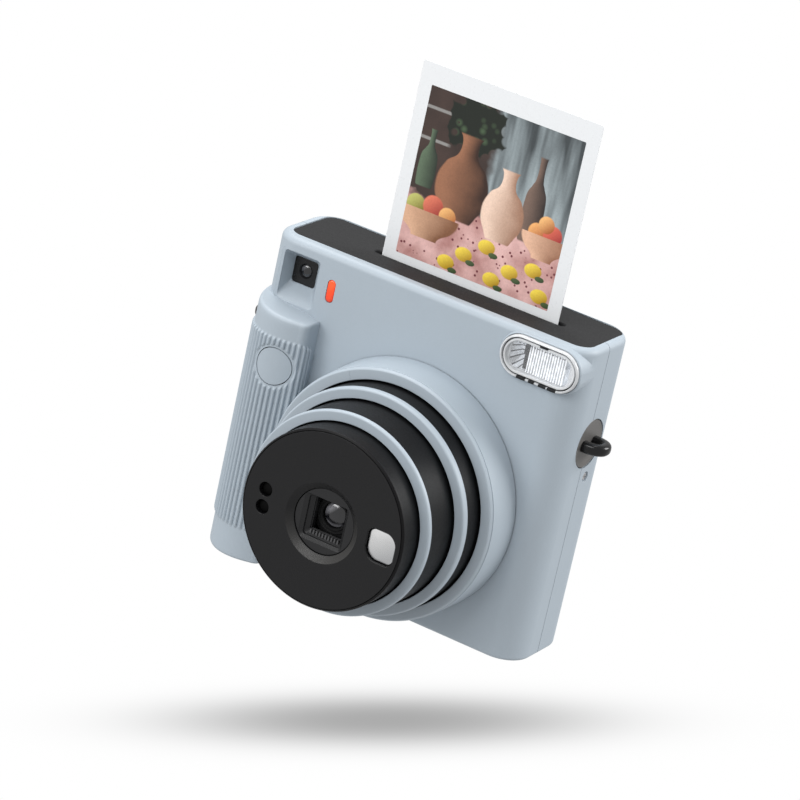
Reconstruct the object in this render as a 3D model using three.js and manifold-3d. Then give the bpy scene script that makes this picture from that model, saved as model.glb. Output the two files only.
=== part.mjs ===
// Square-format instant camera with a print coming out of its top.
// Units are millimetres. +X is to the right as seen from the front, +Y is towards the back, +Z is up.
// The origin is under the film plane: x = 0 at mid-width, y = 0 at the film plane, z = 0 at the base.
import * as THREE from "three";
import { mergeVertices } from "three/addons/utils/BufferGeometryUtils.js";
import Module from "manifold-3d";

const wasm = await Module();
wasm.setup();

// ---- Driving dimensions ----
const HEIGHT = 118.6;
const SIDE_RIGHT = 65.35;
const SIDE_LEFT = -63.5;
const GRIP_LEFT = -65.35;
const GRIP_RIGHT = -36.4;
const GRIP_TOP = 94.5;
const HALF_DEPTH = 18.7;
const PARTING = -1.2;
const CORNER = 11;
const EDGE = 2.2;
const WALL = 2.2;
const GAP = 0.3;
const LENS_X = 7.5;
const LENS_Z = 47.6;
const ROUND = 48;

// Lens tiers: outer radius and the y of the front face, with the barrel drawn out
const RING = { r: 46, rear: -HALF_DEPTH - GAP, front: -35.2 };
const TIER_1 = { r: 40.6, front: -45.9, rear: -18.3, collar: 2.7 };
const TIER_2 = { r: 36.4, front: -62.0, rear: -36, collar: 1.7 };
const TIER_3 = { r: 32.2, front: -72.1, rear: -52 };
const TUBE = 1.8;

// Film sheet, its picture, and the transport
const PRINT = { width: 72, height: 86, thick: 0.5, x: 7.5, bottom: 104.6 };
const PACK = { width: 80, bottom: 5.6, top: 98.6, front: -1.9, rear: 13.6 };
const ROLLER = { r: 4, y: 4.55, z: 108, from: -30, to: 45 };
const GEAR_X = 50.5;
const GEAR_WIDTH = 2.4;
const MODULE = (2 * ROLLER.y) / 12;

// Front features
const FINDER = { x: -49.5, z: 104.5, width: 15.2, height: 18, eyeX: -50.6, eyeZ: 105.5, eye: 9, floor: -12.2 };
const FLASH = { x: 49.2, z: 109.6, half: 7.7, width: 31 };
const LAMP = { x: -35.7, z: 104.9, width: 3.1, height: 8.3 };
const BUTTON = { x: -45.7, z: 75, r: 7 };
const PLATE = { left: -59.6, right: 62.6, front: -14, rear: 16.2, corner: 5.5, top: HEIGHT - 0.25, thick: 1.8 };
const SLOT = { x: 7.4, width: 77.8, depth: 3.2 };
const LUG = { z: 81, y: 0.4, r: 9, reach: 7.8 };
const DOOR = { left: -38.5, pivotX: 55.5, pivotY: 16.5, bottom: 9, top: 97, thick: 2.2, barrel: 1.9 };

// ---- Geometry helpers ----
function solid(geometry) {
  const bare = geometry.index ? geometry.toNonIndexed() : geometry.clone();
  bare.deleteAttribute("normal");
  bare.deleteAttribute("uv");
  const merged = mergeVertices(bare, 1e-4);
  const build = (tris) =>
    new wasm.Manifold(
      new wasm.Mesh({ numProp: 3, vertProperties: merged.attributes.position.array, triVerts: tris }),
    );
  const made = build(new Uint32Array(merged.index.array));
  if (made.volume() > 0) return made;
  return build(new Uint32Array(merged.index.array).reverse());
}

function geometryOf(made) {
  const mesh = made.getMesh();
  return new THREE.BufferGeometry()
    .setAttribute("position", new THREE.BufferAttribute(Float32Array.from(mesh.vertProperties), 3))
    .setIndex(new THREE.BufferAttribute(mesh.triVerts, 1));
}

const join = (...solids) => solids.reduce((a, b) => a.add(b));
const cut = (body, ...tools) => tools.reduce((a, b) => a.subtract(b), body);

// Extrudes a plan shape (x, y) upwards between two heights, with rounded rims when edge is given.
function upright(shape, z0, z1, edge = 0, curveSegments = 3) {
  const geometry = new THREE.ExtrudeGeometry(shape, {
    depth: z1 - z0 - 2 * edge,
    bevelEnabled: edge > 0,
    bevelSize: edge,
    bevelThickness: edge,
    bevelOffset: -edge,
    bevelSegments: 2,
    curveSegments,
  });
  return solid(geometry.translate(0, 0, z0 + edge));
}

// Extrudes a front-view shape (x, z) from y1 forwards to y0.
function frontal(shape, y0, y1, edge = 0, curveSegments = 2) {
  const geometry = new THREE.ExtrudeGeometry(shape, {
    depth: y1 - y0 - 2 * edge,
    bevelEnabled: edge > 0,
    bevelSize: edge,
    bevelThickness: edge,
    bevelOffset: -edge,
    bevelSegments: 1,
    curveSegments,
  });
  return solid(geometry.rotateX(Math.PI / 2).translate(0, y1 - edge, 0));
}

// Extrudes a side-view shape (y, z) from x0 to x1.
function sideways(shape, x0, x1, curveSegments = 4) {
  const geometry = new THREE.ExtrudeGeometry(shape, { depth: x1 - x0, bevelEnabled: false, curveSegments });
  const turn = new THREE.Matrix4().makeBasis(
    new THREE.Vector3(0, 1, 0),
    new THREE.Vector3(0, 0, 1),
    new THREE.Vector3(1, 0, 0),
  );
  return solid(geometry.applyMatrix4(turn).translate(x0, 0, 0));
}

function box(x0, x1, y0, y1, z0, z1) {
  return solid(
    new THREE.BoxGeometry(x1 - x0, y1 - y0, z1 - z0).translate((x0 + x1) / 2, (y0 + y1) / 2, (z0 + z1) / 2),
  );
}

// A rounded rectangle centred on (u, v).
function roundRect(u, v, width, height, r) {
  const s = new THREE.Shape();
  const [a, b, c, d] = [u - width / 2, u + width / 2, v - height / 2, v + height / 2];
  s.moveTo(a + r, c);
  s.lineTo(b - r, c);
  s.absarc(b - r, c + r, r, -Math.PI / 2, 0, false);
  s.lineTo(b, d - r);
  s.absarc(b - r, d - r, r, 0, Math.PI / 2, false);
  s.lineTo(a + r, d);
  s.absarc(a + r, d - r, r, Math.PI / 2, Math.PI, false);
  s.lineTo(a, c + r);
  s.absarc(a + r, c + r, r, Math.PI, 1.5 * Math.PI, false);
  return s;
}

function disc(u, v, r) {
  const s = new THREE.Shape();
  s.absarc(u, v, r, 0, 2 * Math.PI, false);
  return s;
}

// A cylinder or ring along an axis, by turning an (r, along) profile.
function turned(profile, segments = ROUND) {
  return new THREE.LatheGeometry(profile.map(([r, y]) => new THREE.Vector2(r, y)), segments);
}

// A turned solid on the lens axis.
function onLensAxis(profile, segments = ROUND) {
  return solid(turned(profile, segments).translate(LENS_X, 0, LENS_Z));
}

const tubeProfile = (outer, inner, y0, y1) => [[outer, y0], [outer, y1], [inner, y1], [inner, y0], [outer, y0]];
const rodProfile = (r, y0, y1) => [[0, y0], [r, y0], [r, y1], [0, y1]];

function rodAlongX(r, x0, x1, y, z, segments = 20) {
  return solid(turned(rodProfile(r, x0, x1), segments).rotateZ(-Math.PI / 2).translate(0, y, z));
}

function rodAlongY(r, y0, y1, x, z, segments = 20) {
  return solid(turned(rodProfile(r, y0, y1), segments).translate(x, 0, z));
}

function rodAlongZ(r, z0, z1, x, y, segments = 20) {
  return solid(turned(rodProfile(r, z0, z1), segments).rotateX(Math.PI / 2).translate(x, y, 0));
}

// A closed skin over equal rings of points, with fanned ends.
function loft(rings) {
  const n = rings[0].length;
  const points = rings.flat();
  const centre = (ring) => [0, 1, 2].map((k) => ring.reduce((sum, p) => sum + p[k], 0) / n);
  const first = points.push(centre(rings[0])) - 1;
  const last = points.push(centre(rings[rings.length - 1])) - 1;
  const index = [];
  for (let i = 0; i < n; i++) {
    const j = (i + 1) % n;
    for (let k = 0; k < rings.length - 1; k++) {
      const [a, b] = [k * n, (k + 1) * n];
      index.push(a + i, a + j, b + j, a + i, b + j, b + i);
    }
    const end = (rings.length - 1) * n;
    index.push(first, j, i, last, end + i, end + j);
  }
  return solid(new THREE.BufferGeometry()
    .setAttribute("position", new THREE.Float32BufferAttribute(points.flat(), 3))
    .setIndex(index));
}

const ringAt = (shape, y, curveSegments = 4) =>
  shape.getPoints(curveSegments).slice(0, -1).map((p) => [p.x, y, p.y]);

// ---- Outer form, shared by the two covers ----
function bodyOutline(inset) {
  return roundRect(
    (SIDE_LEFT + SIDE_RIGHT) / 2, 0,
    SIDE_RIGHT - SIDE_LEFT - 2 * inset, 2 * (HALF_DEPTH - inset), CORNER - inset,
  );
}

// Plan outline of the hand grip: a steep inner flank, a crowned front, and a side that runs to the back.
function gripOutline(inset) {
  const s = new THREE.Shape();
  const right = GRIP_RIGHT - inset;
  const left = GRIP_LEFT + inset;
  const rear = HALF_DEPTH - inset;
  const r = CORNER - inset;
  s.moveTo(right, rear);
  s.lineTo(right, -23.6 + inset);
  s.quadraticCurveTo(right, -27.4 + inset, right - 3.1, -28.2 + inset);
  s.bezierCurveTo(right - 16.1, -34.1 + 1.2 * inset, left + 0.85, -26 + inset, left, -5);
  s.lineTo(left, rear - r);
  s.absarc(left + r, rear - r, r, Math.PI, Math.PI / 2, true);
  return s;
}

// The flash outline: two half circles joined by straight edges.
function stadium(grow) {
  const s = new THREE.Shape();
  const r = FLASH.half + grow;
  const reach = FLASH.width / 2 - FLASH.half;
  s.absarc(FLASH.x + reach, FLASH.z, r, -Math.PI / 2, Math.PI / 2, false);
  s.absarc(FLASH.x - reach, FLASH.z, r, Math.PI / 2, 1.5 * Math.PI, false);
  return s;
}

// The raised fairing that carries the flash over the rounded corner.
function flashFairing() {
  const flare = loft([ringAt(stadium(3), -9), ringAt(stadium(0.8), -19.6)]);
  return flare.intersect(box(0, SIDE_RIGHT, -30, 0, 60, HEIGHT - 0.8));
}

const outside = join(
  upright(bodyOutline(0), 0, HEIGHT, EDGE),
  upright(gripOutline(0), 0, GRIP_TOP, EDGE),
  flashFairing(),
);
const inside = join(
  upright(bodyOutline(WALL), WALL, HEIGHT - WALL),
  upright(gripOutline(WALL), WALL, GRIP_TOP - WALL),
);
const shell = outside.subtract(inside);

const lugSeat = (side) =>
  side > 0
    ? rodAlongX(LUG.r + GAP, SIDE_RIGHT - 1.2, SIDE_RIGHT + 5, LUG.y, LUG.z, 32)
    : rodAlongX(LUG.r + GAP, GRIP_LEFT - 5, GRIP_LEFT + 1.2, LUG.y, LUG.z, 32);

const plateOutline = (grow) =>
  roundRect(
    (PLATE.left + PLATE.right) / 2, (PLATE.front + PLATE.rear) / 2,
    PLATE.right - PLATE.left + 2 * grow, PLATE.rear - PLATE.front + 2 * grow, PLATE.corner + grow,
  );

// ---- Covers ----
function frontCover() {
  const front = shell.intersect(box(-90, 90, -60, PARTING - GAP / 2, -10, 130));
  const finderOuter = (grow, y) => ringAt(
    roundRect(FINDER.x, FINDER.z, FINDER.width + 2 * grow, FINDER.height + 2 * grow, 1.6 + grow), y);
  const finderInner = (grow, y) => ringAt(
    roundRect(FINDER.eyeX, FINDER.eyeZ, FINDER.eye + 2 * grow, FINDER.eye + 2 * grow, 1.2 + grow), y);
  const funnel = loft([finderInner(1.2, FINDER.floor + 1.2), finderOuter(1.2, -HALF_DEPTH + 1)]);
  const mouth = loft([finderInner(0, FINDER.floor + 1.3), finderInner(0, FINDER.floor), finderOuter(0, -HALF_DEPTH - 0.01), finderOuter(0, -HALF_DEPTH - 2)]);
  const buttonHole = rodAlongY(BUTTON.r + 0.35, -40, -20, BUTTON.x, BUTTON.z, 32);
  const lensHole = onLensAxis(rodProfile(43.7, -40, -10));
  const flashHole = frontal(stadium(GAP), -40, -10, 0, 4);
  const lampHole = frontal(roundRect(LAMP.x, LAMP.z, LAMP.width + 0.5, LAMP.height + 0.5, 1.7), -40, -10);
  const ringClearance = onLensAxis(rodProfile(RING.r + 0.8, -45, -HALF_DEPTH));
  return cut(
    join(front, funnel),
    mouth, buttonHole, lensHole, flashHole, lampHole, ringClearance,
    upright(plateOutline(GAP), 110, 125), lugSeat(1), lugSeat(-1), ...hatchOpening(),
  );
}

function rearCover() {
  const rear = shell.intersect(box(-90, 90, PARTING + GAP / 2, 60, -10, 130));
  const opening = frontal(
    roundRect(
      (DOOR.left + 53) / 2, (DOOR.bottom + DOOR.top) / 2,
      53 - DOOR.left + 2 * GAP, DOOR.top - DOOR.bottom + 2 * GAP, 3.8,
    ),
    10, 30,
  );
  const hingeChannel = join(
    box(51, 58.2, DOOR.pivotY - 0.4, 30, DOOR.bottom - GAP, DOOR.top + GAP),
    rodAlongZ(2.7, DOOR.bottom - GAP, DOOR.top + GAP, DOOR.pivotX, DOOR.pivotY, 24),
  );
  const hingeBore = rodAlongZ(1.05, DOOR.bottom - 3, DOOR.top + 3, DOOR.pivotX, DOOR.pivotY, 12);
  const hingeBoss = (z0) => rodAlongZ(2.1, z0, z0 + 3, DOOR.pivotX, DOOR.pivotY, 16)
    .intersect(box(40, 70, 0, HALF_DEPTH, 0, HEIGHT));
  const latchSlot = frontal(roundRect(-46, 52, 7.6, 20.6, 2.5), 10, 30);
  const eyeHole = frontal(roundRect(FINDER.eyeX, FINDER.eyeZ, 15.6, 12.6, 2.3), 10, 30);
  const counterHole = rodAlongY(3.4, 10, 30, -50, 30, 20);
  const screwHole = rodAlongX(1.8, SIDE_RIGHT - 1, SIDE_RIGHT + 5, 3.3, 67.8, 16);
  return cut(
    join(
      cut(rear, opening, hingeChannel),
      hingeBoss(DOOR.bottom - GAP - 3), hingeBoss(DOOR.top + GAP), dialPost(),
    ),
    hingeBore, latchSlot, eyeHole, counterHole, screwHole,
    upright(plateOutline(GAP), 110, 125), lugSeat(1), lugSeat(-1),
  );
}

const topPlate = () => cut(
  upright(plateOutline(0), PLATE.top - PLATE.thick, PLATE.top),
  upright(roundRect(SLOT.x, 0, SLOT.width, SLOT.depth, SLOT.depth / 2 - 0.01), 100, 130),
);

// ---- Film door ----
function filmDoor() {
  const left = DOOR.left;
  const panel = frontal(
    roundRect((left + 52) / 2, (DOOR.bottom + DOOR.top) / 2, 52 - left, DOOR.top - DOOR.bottom, 3.6),
    HALF_DEPTH - DOOR.thick, HALF_DEPTH,
  );
  const web = box(50, DOOR.pivotX, DOOR.pivotY - 0.1, HALF_DEPTH - 0.3, DOOR.bottom, DOOR.top);
  const barrel = rodAlongZ(DOOR.barrel, DOOR.bottom, DOOR.top, DOOR.pivotX, DOOR.pivotY, 16);
  const bore = rodAlongZ(1.05, DOOR.bottom - 1, DOOR.top + 1, DOOR.pivotX, DOOR.pivotY, 12);
  const window = frontal(roundRect(7.5, 66, 6.6, 22.6, 2), 10, 30);
  return cut(join(panel, web, barrel), bore, window);
}

const filmWindow = () => frontal(roundRect(7.5, 66, 6, 22, 1.7), HALF_DEPTH - DOOR.thick, HALF_DEPTH - 0.3);
const hingePin = () => rodAlongZ(0.75, DOOR.bottom - 2.8, DOOR.top + 2.8, DOOR.pivotX, DOOR.pivotY, 12);
const doorLatch = () => join(
  frontal(roundRect(-46, 51, 7, 18, 2.2), HALF_DEPTH - 2, HALF_DEPTH - 0.4),
  box(-48.5, -43.5, HALF_DEPTH - 0.5, HALF_DEPTH, 55, 56),
  box(-48.5, -43.5, HALF_DEPTH - 0.5, HALF_DEPTH, 52, 53),
  box(-48.5, -43.5, HALF_DEPTH - 0.5, HALF_DEPTH, 49, 50),
);

// Two bowed leaves on one strip inside the door, which press the film pack forwards.
function springLeaf(x) {
  const leaf = new THREE.Shape();
  const seat = HALF_DEPTH - DOOR.thick - GAP;
  leaf.moveTo(seat, 30);
  leaf.lineTo(seat, 37);
  leaf.quadraticCurveTo(PACK.rear + 0.1, 50, seat, 63);
  leaf.lineTo(seat, 70);
  leaf.lineTo(seat - 0.4, 70);
  leaf.lineTo(seat - 0.4, 63);
  leaf.quadraticCurveTo(PACK.rear - 0.3, 50, seat - 0.4, 37);
  leaf.lineTo(seat - 0.4, 30);
  return sideways(leaf, x - 4, x + 4);
}
const pressureSpring = () => join(
  springLeaf(-12), springLeaf(27),
  box(-12, 27, HALF_DEPTH - DOOR.thick - GAP - 0.4, HALF_DEPTH - DOOR.thick - GAP, 30, 36),
);

// ---- Chassis and film ----
function chassis() {
  const [x0, x1] = [PRINT.x - PACK.width / 2 - 2, PRINT.x + PACK.width / 2 + 2];
  const outer = box(x0, x1, -4.4, PACK.rear, 3.2, 101.2);
  const bay = box(x0 + 1.6, x1 - 1.6, PACK.front - 0.4, 30, PACK.bottom - 0.5, PACK.top + 0.5);
  const gate = frontal(roundRect(LENS_X, LENS_Z, 64, 64, 2), -10, 0);
  const exit = box(PRINT.x - 37.5, PRINT.x + 37.5, -1.3, 1.3, 90, 110);
  return cut(outer, bay, gate, exit);
}

function filmPack() {
  const [x0, x1] = [PRINT.x - PACK.width / 2, PRINT.x + PACK.width / 2];
  const outer = box(x0, x1, PACK.front, PACK.rear - 0.3, PACK.bottom, PACK.top);
  const hollow = box(x0 + 1.5, x1 - 1.5, -0.8, PACK.rear - 1.8, PACK.bottom + 1.5, PACK.top - 1.5);
  const aperture = frontal(roundRect(LENS_X, LENS_Z, 62, 62, 1), -10, 0);
  const exit = box(PRINT.x - 37, PRINT.x + 37, -0.8, 0.8, 90, 110);
  return cut(outer, hollow, aperture, exit);
}

const filmSheets = () => box(PRINT.x - 36, PRINT.x + 36, 1.1, 8, 8.6, 94.6);
const printSheet = () => box(
  PRINT.x - PRINT.width / 2, PRINT.x + PRINT.width / 2, -PRINT.thick / 2, PRINT.thick / 2,
  PRINT.bottom, PRINT.bottom + PRINT.height,
);

// ---- Transport: two pinch rollers, their gears, an idler and the motor ----
const TEETH = { roller: 12, idler: 20, pinion: 10 };
const pitchRadius = (teeth) => (MODULE * teeth) / 2;
const AXES = (() => {
  const idlerY = -6;
  const motorY = -10.2;
  const reach = pitchRadius(TEETH.roller) + pitchRadius(TEETH.idler);
  const idlerZ = ROLLER.z - Math.sqrt(reach ** 2 - (ROLLER.y + idlerY) ** 2);
  const mesh = pitchRadius(TEETH.idler) + pitchRadius(TEETH.pinion);
  const motorZ = idlerZ - Math.sqrt(mesh ** 2 - (idlerY - motorY) ** 2);
  return { front: [-ROLLER.y, ROLLER.z], rear: [ROLLER.y, ROLLER.z], idler: [idlerY, idlerZ], motor: [motorY, motorZ] };
})();

function gearShape([y, z], teeth, phase, boreR) {
  const rp = pitchRadius(teeth);
  const [root, tip] = [rp - 1.1 * MODULE, rp + 0.65 * MODULE];
  const step = (2 * Math.PI) / teeth;
  const s = new THREE.Shape();
  const at = (r, a) => [y + r * Math.cos(a), z + r * Math.sin(a)];
  for (let i = 0; i < teeth; i++) {
    const a = phase + i * step;
    const corners = [[root, -0.26], [tip, -0.1], [tip, 0.1], [root, 0.26]];
    corners.forEach(([r, share], k) => {
      const p = at(r, a + share * step);
      if (i === 0 && k === 0) s.moveTo(...p);
      else s.lineTo(...p);
    });
  }
  const bore = new THREE.Path();
  bore.absarc(y, z, boreR, 0, 2 * Math.PI, true);
  s.holes.push(bore);
  return s;
}

// Phase of gear b so that its gap faces the tooth of gear a.
function meshPhase(a, phaseA, teethA, b, teethB) {
  const towards = Math.atan2(b[1] - a[1], b[0] - a[0]);
  const stepA = (2 * Math.PI) / teethA;
  const off = phaseA + Math.round((towards - phaseA) / stepA) * stepA - towards;
  return towards + Math.PI - (teethA / teethB) * off + Math.PI / teethB;
}

const PHASE_FRONT = 0;
const PHASE_REAR = meshPhase(AXES.front, PHASE_FRONT, TEETH.roller, AXES.rear, TEETH.roller);
const PHASE_IDLER = meshPhase(AXES.front, PHASE_FRONT, TEETH.roller, AXES.idler, TEETH.idler);
const PHASE_PINION = meshPhase(AXES.idler, PHASE_IDLER, TEETH.idler, AXES.motor, TEETH.pinion);
const gear = (axis, teeth, phase, bore) =>
  sideways(gearShape(axis, teeth, phase, bore), GEAR_X, GEAR_X + GEAR_WIDTH, 8);

const roller = ([y, z]) => join(
  rodAlongX(ROLLER.r, ROLLER.from, ROLLER.to, y, z, 24),
  rodAlongX(1.4, ROLLER.from - 4, GEAR_X + GEAR_WIDTH + 0.6, y, z, 12),
);

// Two cheeks that carry the roller shafts, tied by a bar at the back, with the idler's pin.
const rollerFrame = () => cut(
  join(
    box(-33.2, -31.6, -9, 11, 103.4, 113.2),
    box(46.4, 48, -9, 11, 101.8, 113.2),
    box(46.4, 48, -9, -4.8, 93, 101.9),
    box(-33.2, 48, 9.6, 11, 103.4, 113.2),
    rodAlongX(1.1, 47.9, GEAR_X + GEAR_WIDTH + 0.8, ...AXES.idler, 12),
  ),
  rodAlongX(1.7, -40, 49, ...AXES.front, 12),
  rodAlongX(1.7, -40, 49, ...AXES.rear, 12),
);
const motor = () => join(
  rodAlongX(5.4, 36.6, 48.8, ...AXES.motor, 24),
  rodAlongX(0.75, 48.7, GEAR_X - GAP, ...AXES.motor, 10),
);
const motorPinion = () => gear(AXES.motor, TEETH.pinion, PHASE_PINION, 0.8);

// ---- Lens ----
const lensRing = () => onLensAxis([
  [RING.r, RING.rear], [43.8, RING.rear], [43.8, -33.4], [41.0, -33.6], [41.0, RING.front + 0.2],
  [43.6, RING.front], [44.7, -34.6], [45.4, -33.2], [RING.r, RING.rear],
]);

const guideTube = () => join(
  onLensAxis(tubeProfile(43.4, 41.2, -33, -5)),
  onLensAxis(tubeProfile(45.2, 43.2, -16.1, -14.6)),
);

// A sliding barrel with a guide flange at its rear end.
function barrel(tier, bore) {
  const front = tier.front + tier.collar + 0.2;
  const flange = bore - GAP;
  return onLensAxis([
    [tier.r - 0.1, front], [tier.r - TUBE, front], [tier.r - TUBE, tier.rear],
    [flange, tier.rear], [flange, tier.rear - 2], [tier.r - 0.1, tier.rear - 2], [tier.r - 0.1, front],
  ]);
}

function collar(tier, next) {
  const rear = tier.front + tier.collar;
  const inner = next.r + 0.4;
  return onLensAxis([
    [tier.r, rear], [inner, rear], [inner, tier.front], [tier.r - 1.1, tier.front],
    [tier.r - 0.3, tier.front + 0.35], [tier.r, tier.front + 1.1], [tier.r, rear],
  ]);
}

const frontBarrel = () => onLensAxis([
  [TIER_3.r, -71.2], [31.2, TIER_3.front], [30.9, TIER_3.front], [30.9, -70], [30.4, -70], [30.4, TIER_3.rear],
  [34.3, TIER_3.rear], [34.3, TIER_3.rear - 2], [TIER_3.r, TIER_3.rear - 2], [TIER_3.r, -71.2],
]);

const MIRROR = { x: LENS_X + 23.7, z: LENS_Z - 0.5, width: 10.4, height: 10.8 };
const SENSOR = { x: LENS_X - 23.5, z: LENS_Z - 0.75, r: 2.3, apart: 3.25 };

// A square with two opposite corners rounded more than the others.
function mirrorShape(grow) {
  const [w, h] = [MIRROR.width / 2 + grow, MIRROR.height / 2 + grow];
  const [x, z] = [MIRROR.x, MIRROR.z];
  const [tight, wide] = [2 + grow, 4.2 + grow];
  const s = new THREE.Shape();
  s.moveTo(x - w + wide, z - h);
  s.lineTo(x + w - tight, z - h);
  s.absarc(x + w - tight, z - h + tight, tight, -Math.PI / 2, 0, false);
  s.lineTo(x + w, z + h - wide);
  s.absarc(x + w - wide, z + h - wide, wide, 0, Math.PI / 2, false);
  s.lineTo(x - w + tight, z + h);
  s.absarc(x - w + tight, z + h - tight, tight, Math.PI / 2, Math.PI, false);
  s.lineTo(x - w, z - h + wide);
  s.absarc(x - w + wide, z - h + wide, wide, Math.PI, 1.5 * Math.PI, false);
  return s;
}

function frontPlate() {
  const back = TIER_3.front + 3.4;
  const discBody = onLensAxis([
    [30.6, TIER_3.front], [30.6, -70.3], [30.1, -70.3], [30.1, back], [12, back], [12, -70.4], [14.6, TIER_3.front],
    [30.6, TIER_3.front],
  ]);
  const sensors = [-1, 1].map((s) => rodAlongY(SENSOR.r, -80, -60, SENSOR.x, SENSOR.z + s * SENSOR.apart, 16));
  return cut(discBody, frontal(mirrorShape(0.6), -80, TIER_3.front + 1.8), ...sensors);
}

function lensBaffle() {
  const [front, floor, rear] = [-69.9, -68.4, -64.6];
  const square = (size, y) => ringAt(roundRect(LENS_X, LENS_Z, size, size, 1), y, 2);
  const plate = onLensAxis([[0, floor], [11.7, floor], [11.7, rear], [0, rear]], 32);
  const frame = loft([square(16.4, floor + 0.1), square(15, front)]);
  const hole = loft([square(9, rear + 1), square(9, rear), square(12.6, front - 0.01), square(12.6, front - 2)]);
  return cut(join(plate, frame), hole);
}

// A lens element: two spherical-looking faces, turned.
const lensElement = (r, y, bulge, thick) => {
  const steps = [0, 0.35, 0.7, 1];
  const front = steps.map((t) => [r * t, y - thick / 2 - bulge * (1 - t * t)]);
  const rear = [...steps].reverse().map((t) => [r * t, y + thick / 2 + 0.5 * bulge * (1 - t * t)]);
  return onLensAxis([...front, ...rear], 24);
};

// A drum with a cross wall that carries the blade pivots and the tube of the lens cell.
const BLADE = { offset: 12, arm: Math.hypot(12, 12), r: 7 };
const shutterHousing = () => join(
  onLensAxis(tubeProfile(29.8, 27.6, -68.3, -54.5)),
  cut(
    join(
      onLensAxis([[0, -58.8], [27.8, -58.8], [27.8, -57.3], [0, -57.3]], 32),
      onLensAxis(rodProfile(6.4, -64.2, -57.4), 24),
      ...[-1, 1].map((side) => rodAlongY(
        0.9, -57.4, -54.6, LENS_X + side * BLADE.offset, LENS_Z + BLADE.offset, 10)),
    ),
    onLensAxis(rodProfile(5.1, -70, -50), 24),
  ),
);

// One shutter blade: an arm from its pivot down to a round leaf that can cover the lens opening.
function shutterBlade(side) {
  const x = LENS_X + side * BLADE.offset;
  const z = LENS_Z + BLADE.offset;
  const y = side > 0 ? -56.8 : -56;
  const arm = box(x - 2, x + 2, y, y + 0.4, z - BLADE.arm, z + 2);
  const leaf = rodAlongY(BLADE.r, y, y + 0.4, x, z - BLADE.arm, 20);
  return cut(join(arm, leaf), rodAlongY(1.2, -58, -50, x, z, 10));
}

const selfieMirror = () => frontal(mirrorShape(0), TIER_3.front + 0.2, TIER_3.front + 1.4, 0.3);
const sensorWindow = (side) =>
  rodAlongY(SENSOR.r - 0.25, TIER_3.front + 1.2, TIER_3.front + 2.6, SENSOR.x, SENSOR.z + side * SENSOR.apart, 16);

// ---- Flash ----
function flashCover() {
  const outer = frontal(stadium(0), -20.9, -17, 0.9, 4);
  const hollow = frontal(stadium(-1.2), -19.9, -10, 0, 4);
  return cut(outer, hollow);
}
const reflectorRing = (grow, y) =>
  ringAt(roundRect(FLASH.x - 1, FLASH.z - 0.2, 24.6 + 2 * grow, 11 + 2 * grow, 2.5), y);
const reflectorBack = (grow, y) =>
  ringAt(roundRect(FLASH.x - 1, FLASH.z - 0.2, 21 + 2 * grow, 4 + 2 * grow, 1.5), y);
const flashReflector = () => cut(
  loft([reflectorBack(0.7, -10.4), reflectorRing(0.7, -16.6)]),
  loft([reflectorBack(0, -11.2), reflectorRing(0, -16.7), reflectorRing(0, -18)]),
);
const flashTube = () => rodAlongX(1, FLASH.x - 9, FLASH.x + 8, -12.6, FLASH.z - 0.2, 12);
const flashCapacitor = () => rodAlongZ(4.6, 58, 88, 58, -7.4, 24);

// ---- Viewfinder ----
const finderWindow = () => frontal(
  roundRect(FINDER.eyeX, FINDER.eyeZ, FINDER.eye - 0.5, FINDER.eye - 0.5, 1), FINDER.floor + 0.1, FINDER.floor + 1);
const finderTube = () => cut(
  frontal(roundRect(FINDER.eyeX, FINDER.eyeZ, 11.2, 11.2, 1.6), FINDER.floor + 1.6, 15.8),
  frontal(roundRect(FINDER.eyeX, FINDER.eyeZ, 9, 9, 1), -20, 30),
);
const eyepieceFrame = () => cut(
  frontal(roundRect(FINDER.eyeX, FINDER.eyeZ, 15, 12, 2), 16.1, HALF_DEPTH),
  frontal(roundRect(FINDER.eyeX, FINDER.eyeZ, 8.6, 6.6, 1.2), 10, 30),
);
const eyepieceLens = () => frontal(roundRect(FINDER.eyeX, FINDER.eyeZ, 8, 6, 1), 16.3, 17.6);

const indicatorLamp = () =>
  frontal(roundRect(LAMP.x, LAMP.z, LAMP.width - 0.1, LAMP.height - 0.1, 1.35), -HALF_DEPTH - 0.1, -14);

// ---- Shutter button ----
function shutterButton() {
  const cap = rodAlongY(BUTTON.r, -40, -25, BUTTON.x, BUTTON.z, 32).intersect(upright(gripOutline(0), 60, 90));
  const stem = rodAlongY(2, -25.1, -22.4, BUTTON.x, BUTTON.z, 12);
  return join(cap, stem);
}
const buttonSwitch = () => box(BUTTON.x - 3.5, BUTTON.x + 3.5, -20.6, -16.6, BUTTON.z - 3.5, BUTTON.z + 3.5);

// ---- Power ----
const CELL = { x: -51, y: -14.5, r: 7.8 };
const battery = (z) => join(
  rodAlongZ(CELL.r, z, z + 26, CELL.x, CELL.y, 24),
  rodAlongZ(2.6, z + 25.9, z + 27, CELL.x, CELL.y, 12),
);
const batteryBay = () => cut(
  box(-61, -41, -24.5, -4.5, 4.4, 63).intersect(upright(gripOutline(WALL + 0.4), 0, 70)),
  rodAlongZ(CELL.r + 0.4, 4, 61.2, CELL.x, CELL.y, 24),
  box(CELL.x - 6, CELL.x + 6, -6.9, -4, 4, 61.2),
);
const HATCH = { left: -60.5, right: -41.5, front: -23, rear: -5 };
const hatchShape = (grow) => roundRect(
  (HATCH.left + HATCH.right) / 2, (HATCH.front + HATCH.rear) / 2,
  HATCH.right - HATCH.left + 2 * grow, HATCH.rear - HATCH.front + 2 * grow, 2 + grow,
);
const HATCH_PIVOT = { y: HATCH.rear - 0.75, z: 1.15 };
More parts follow.
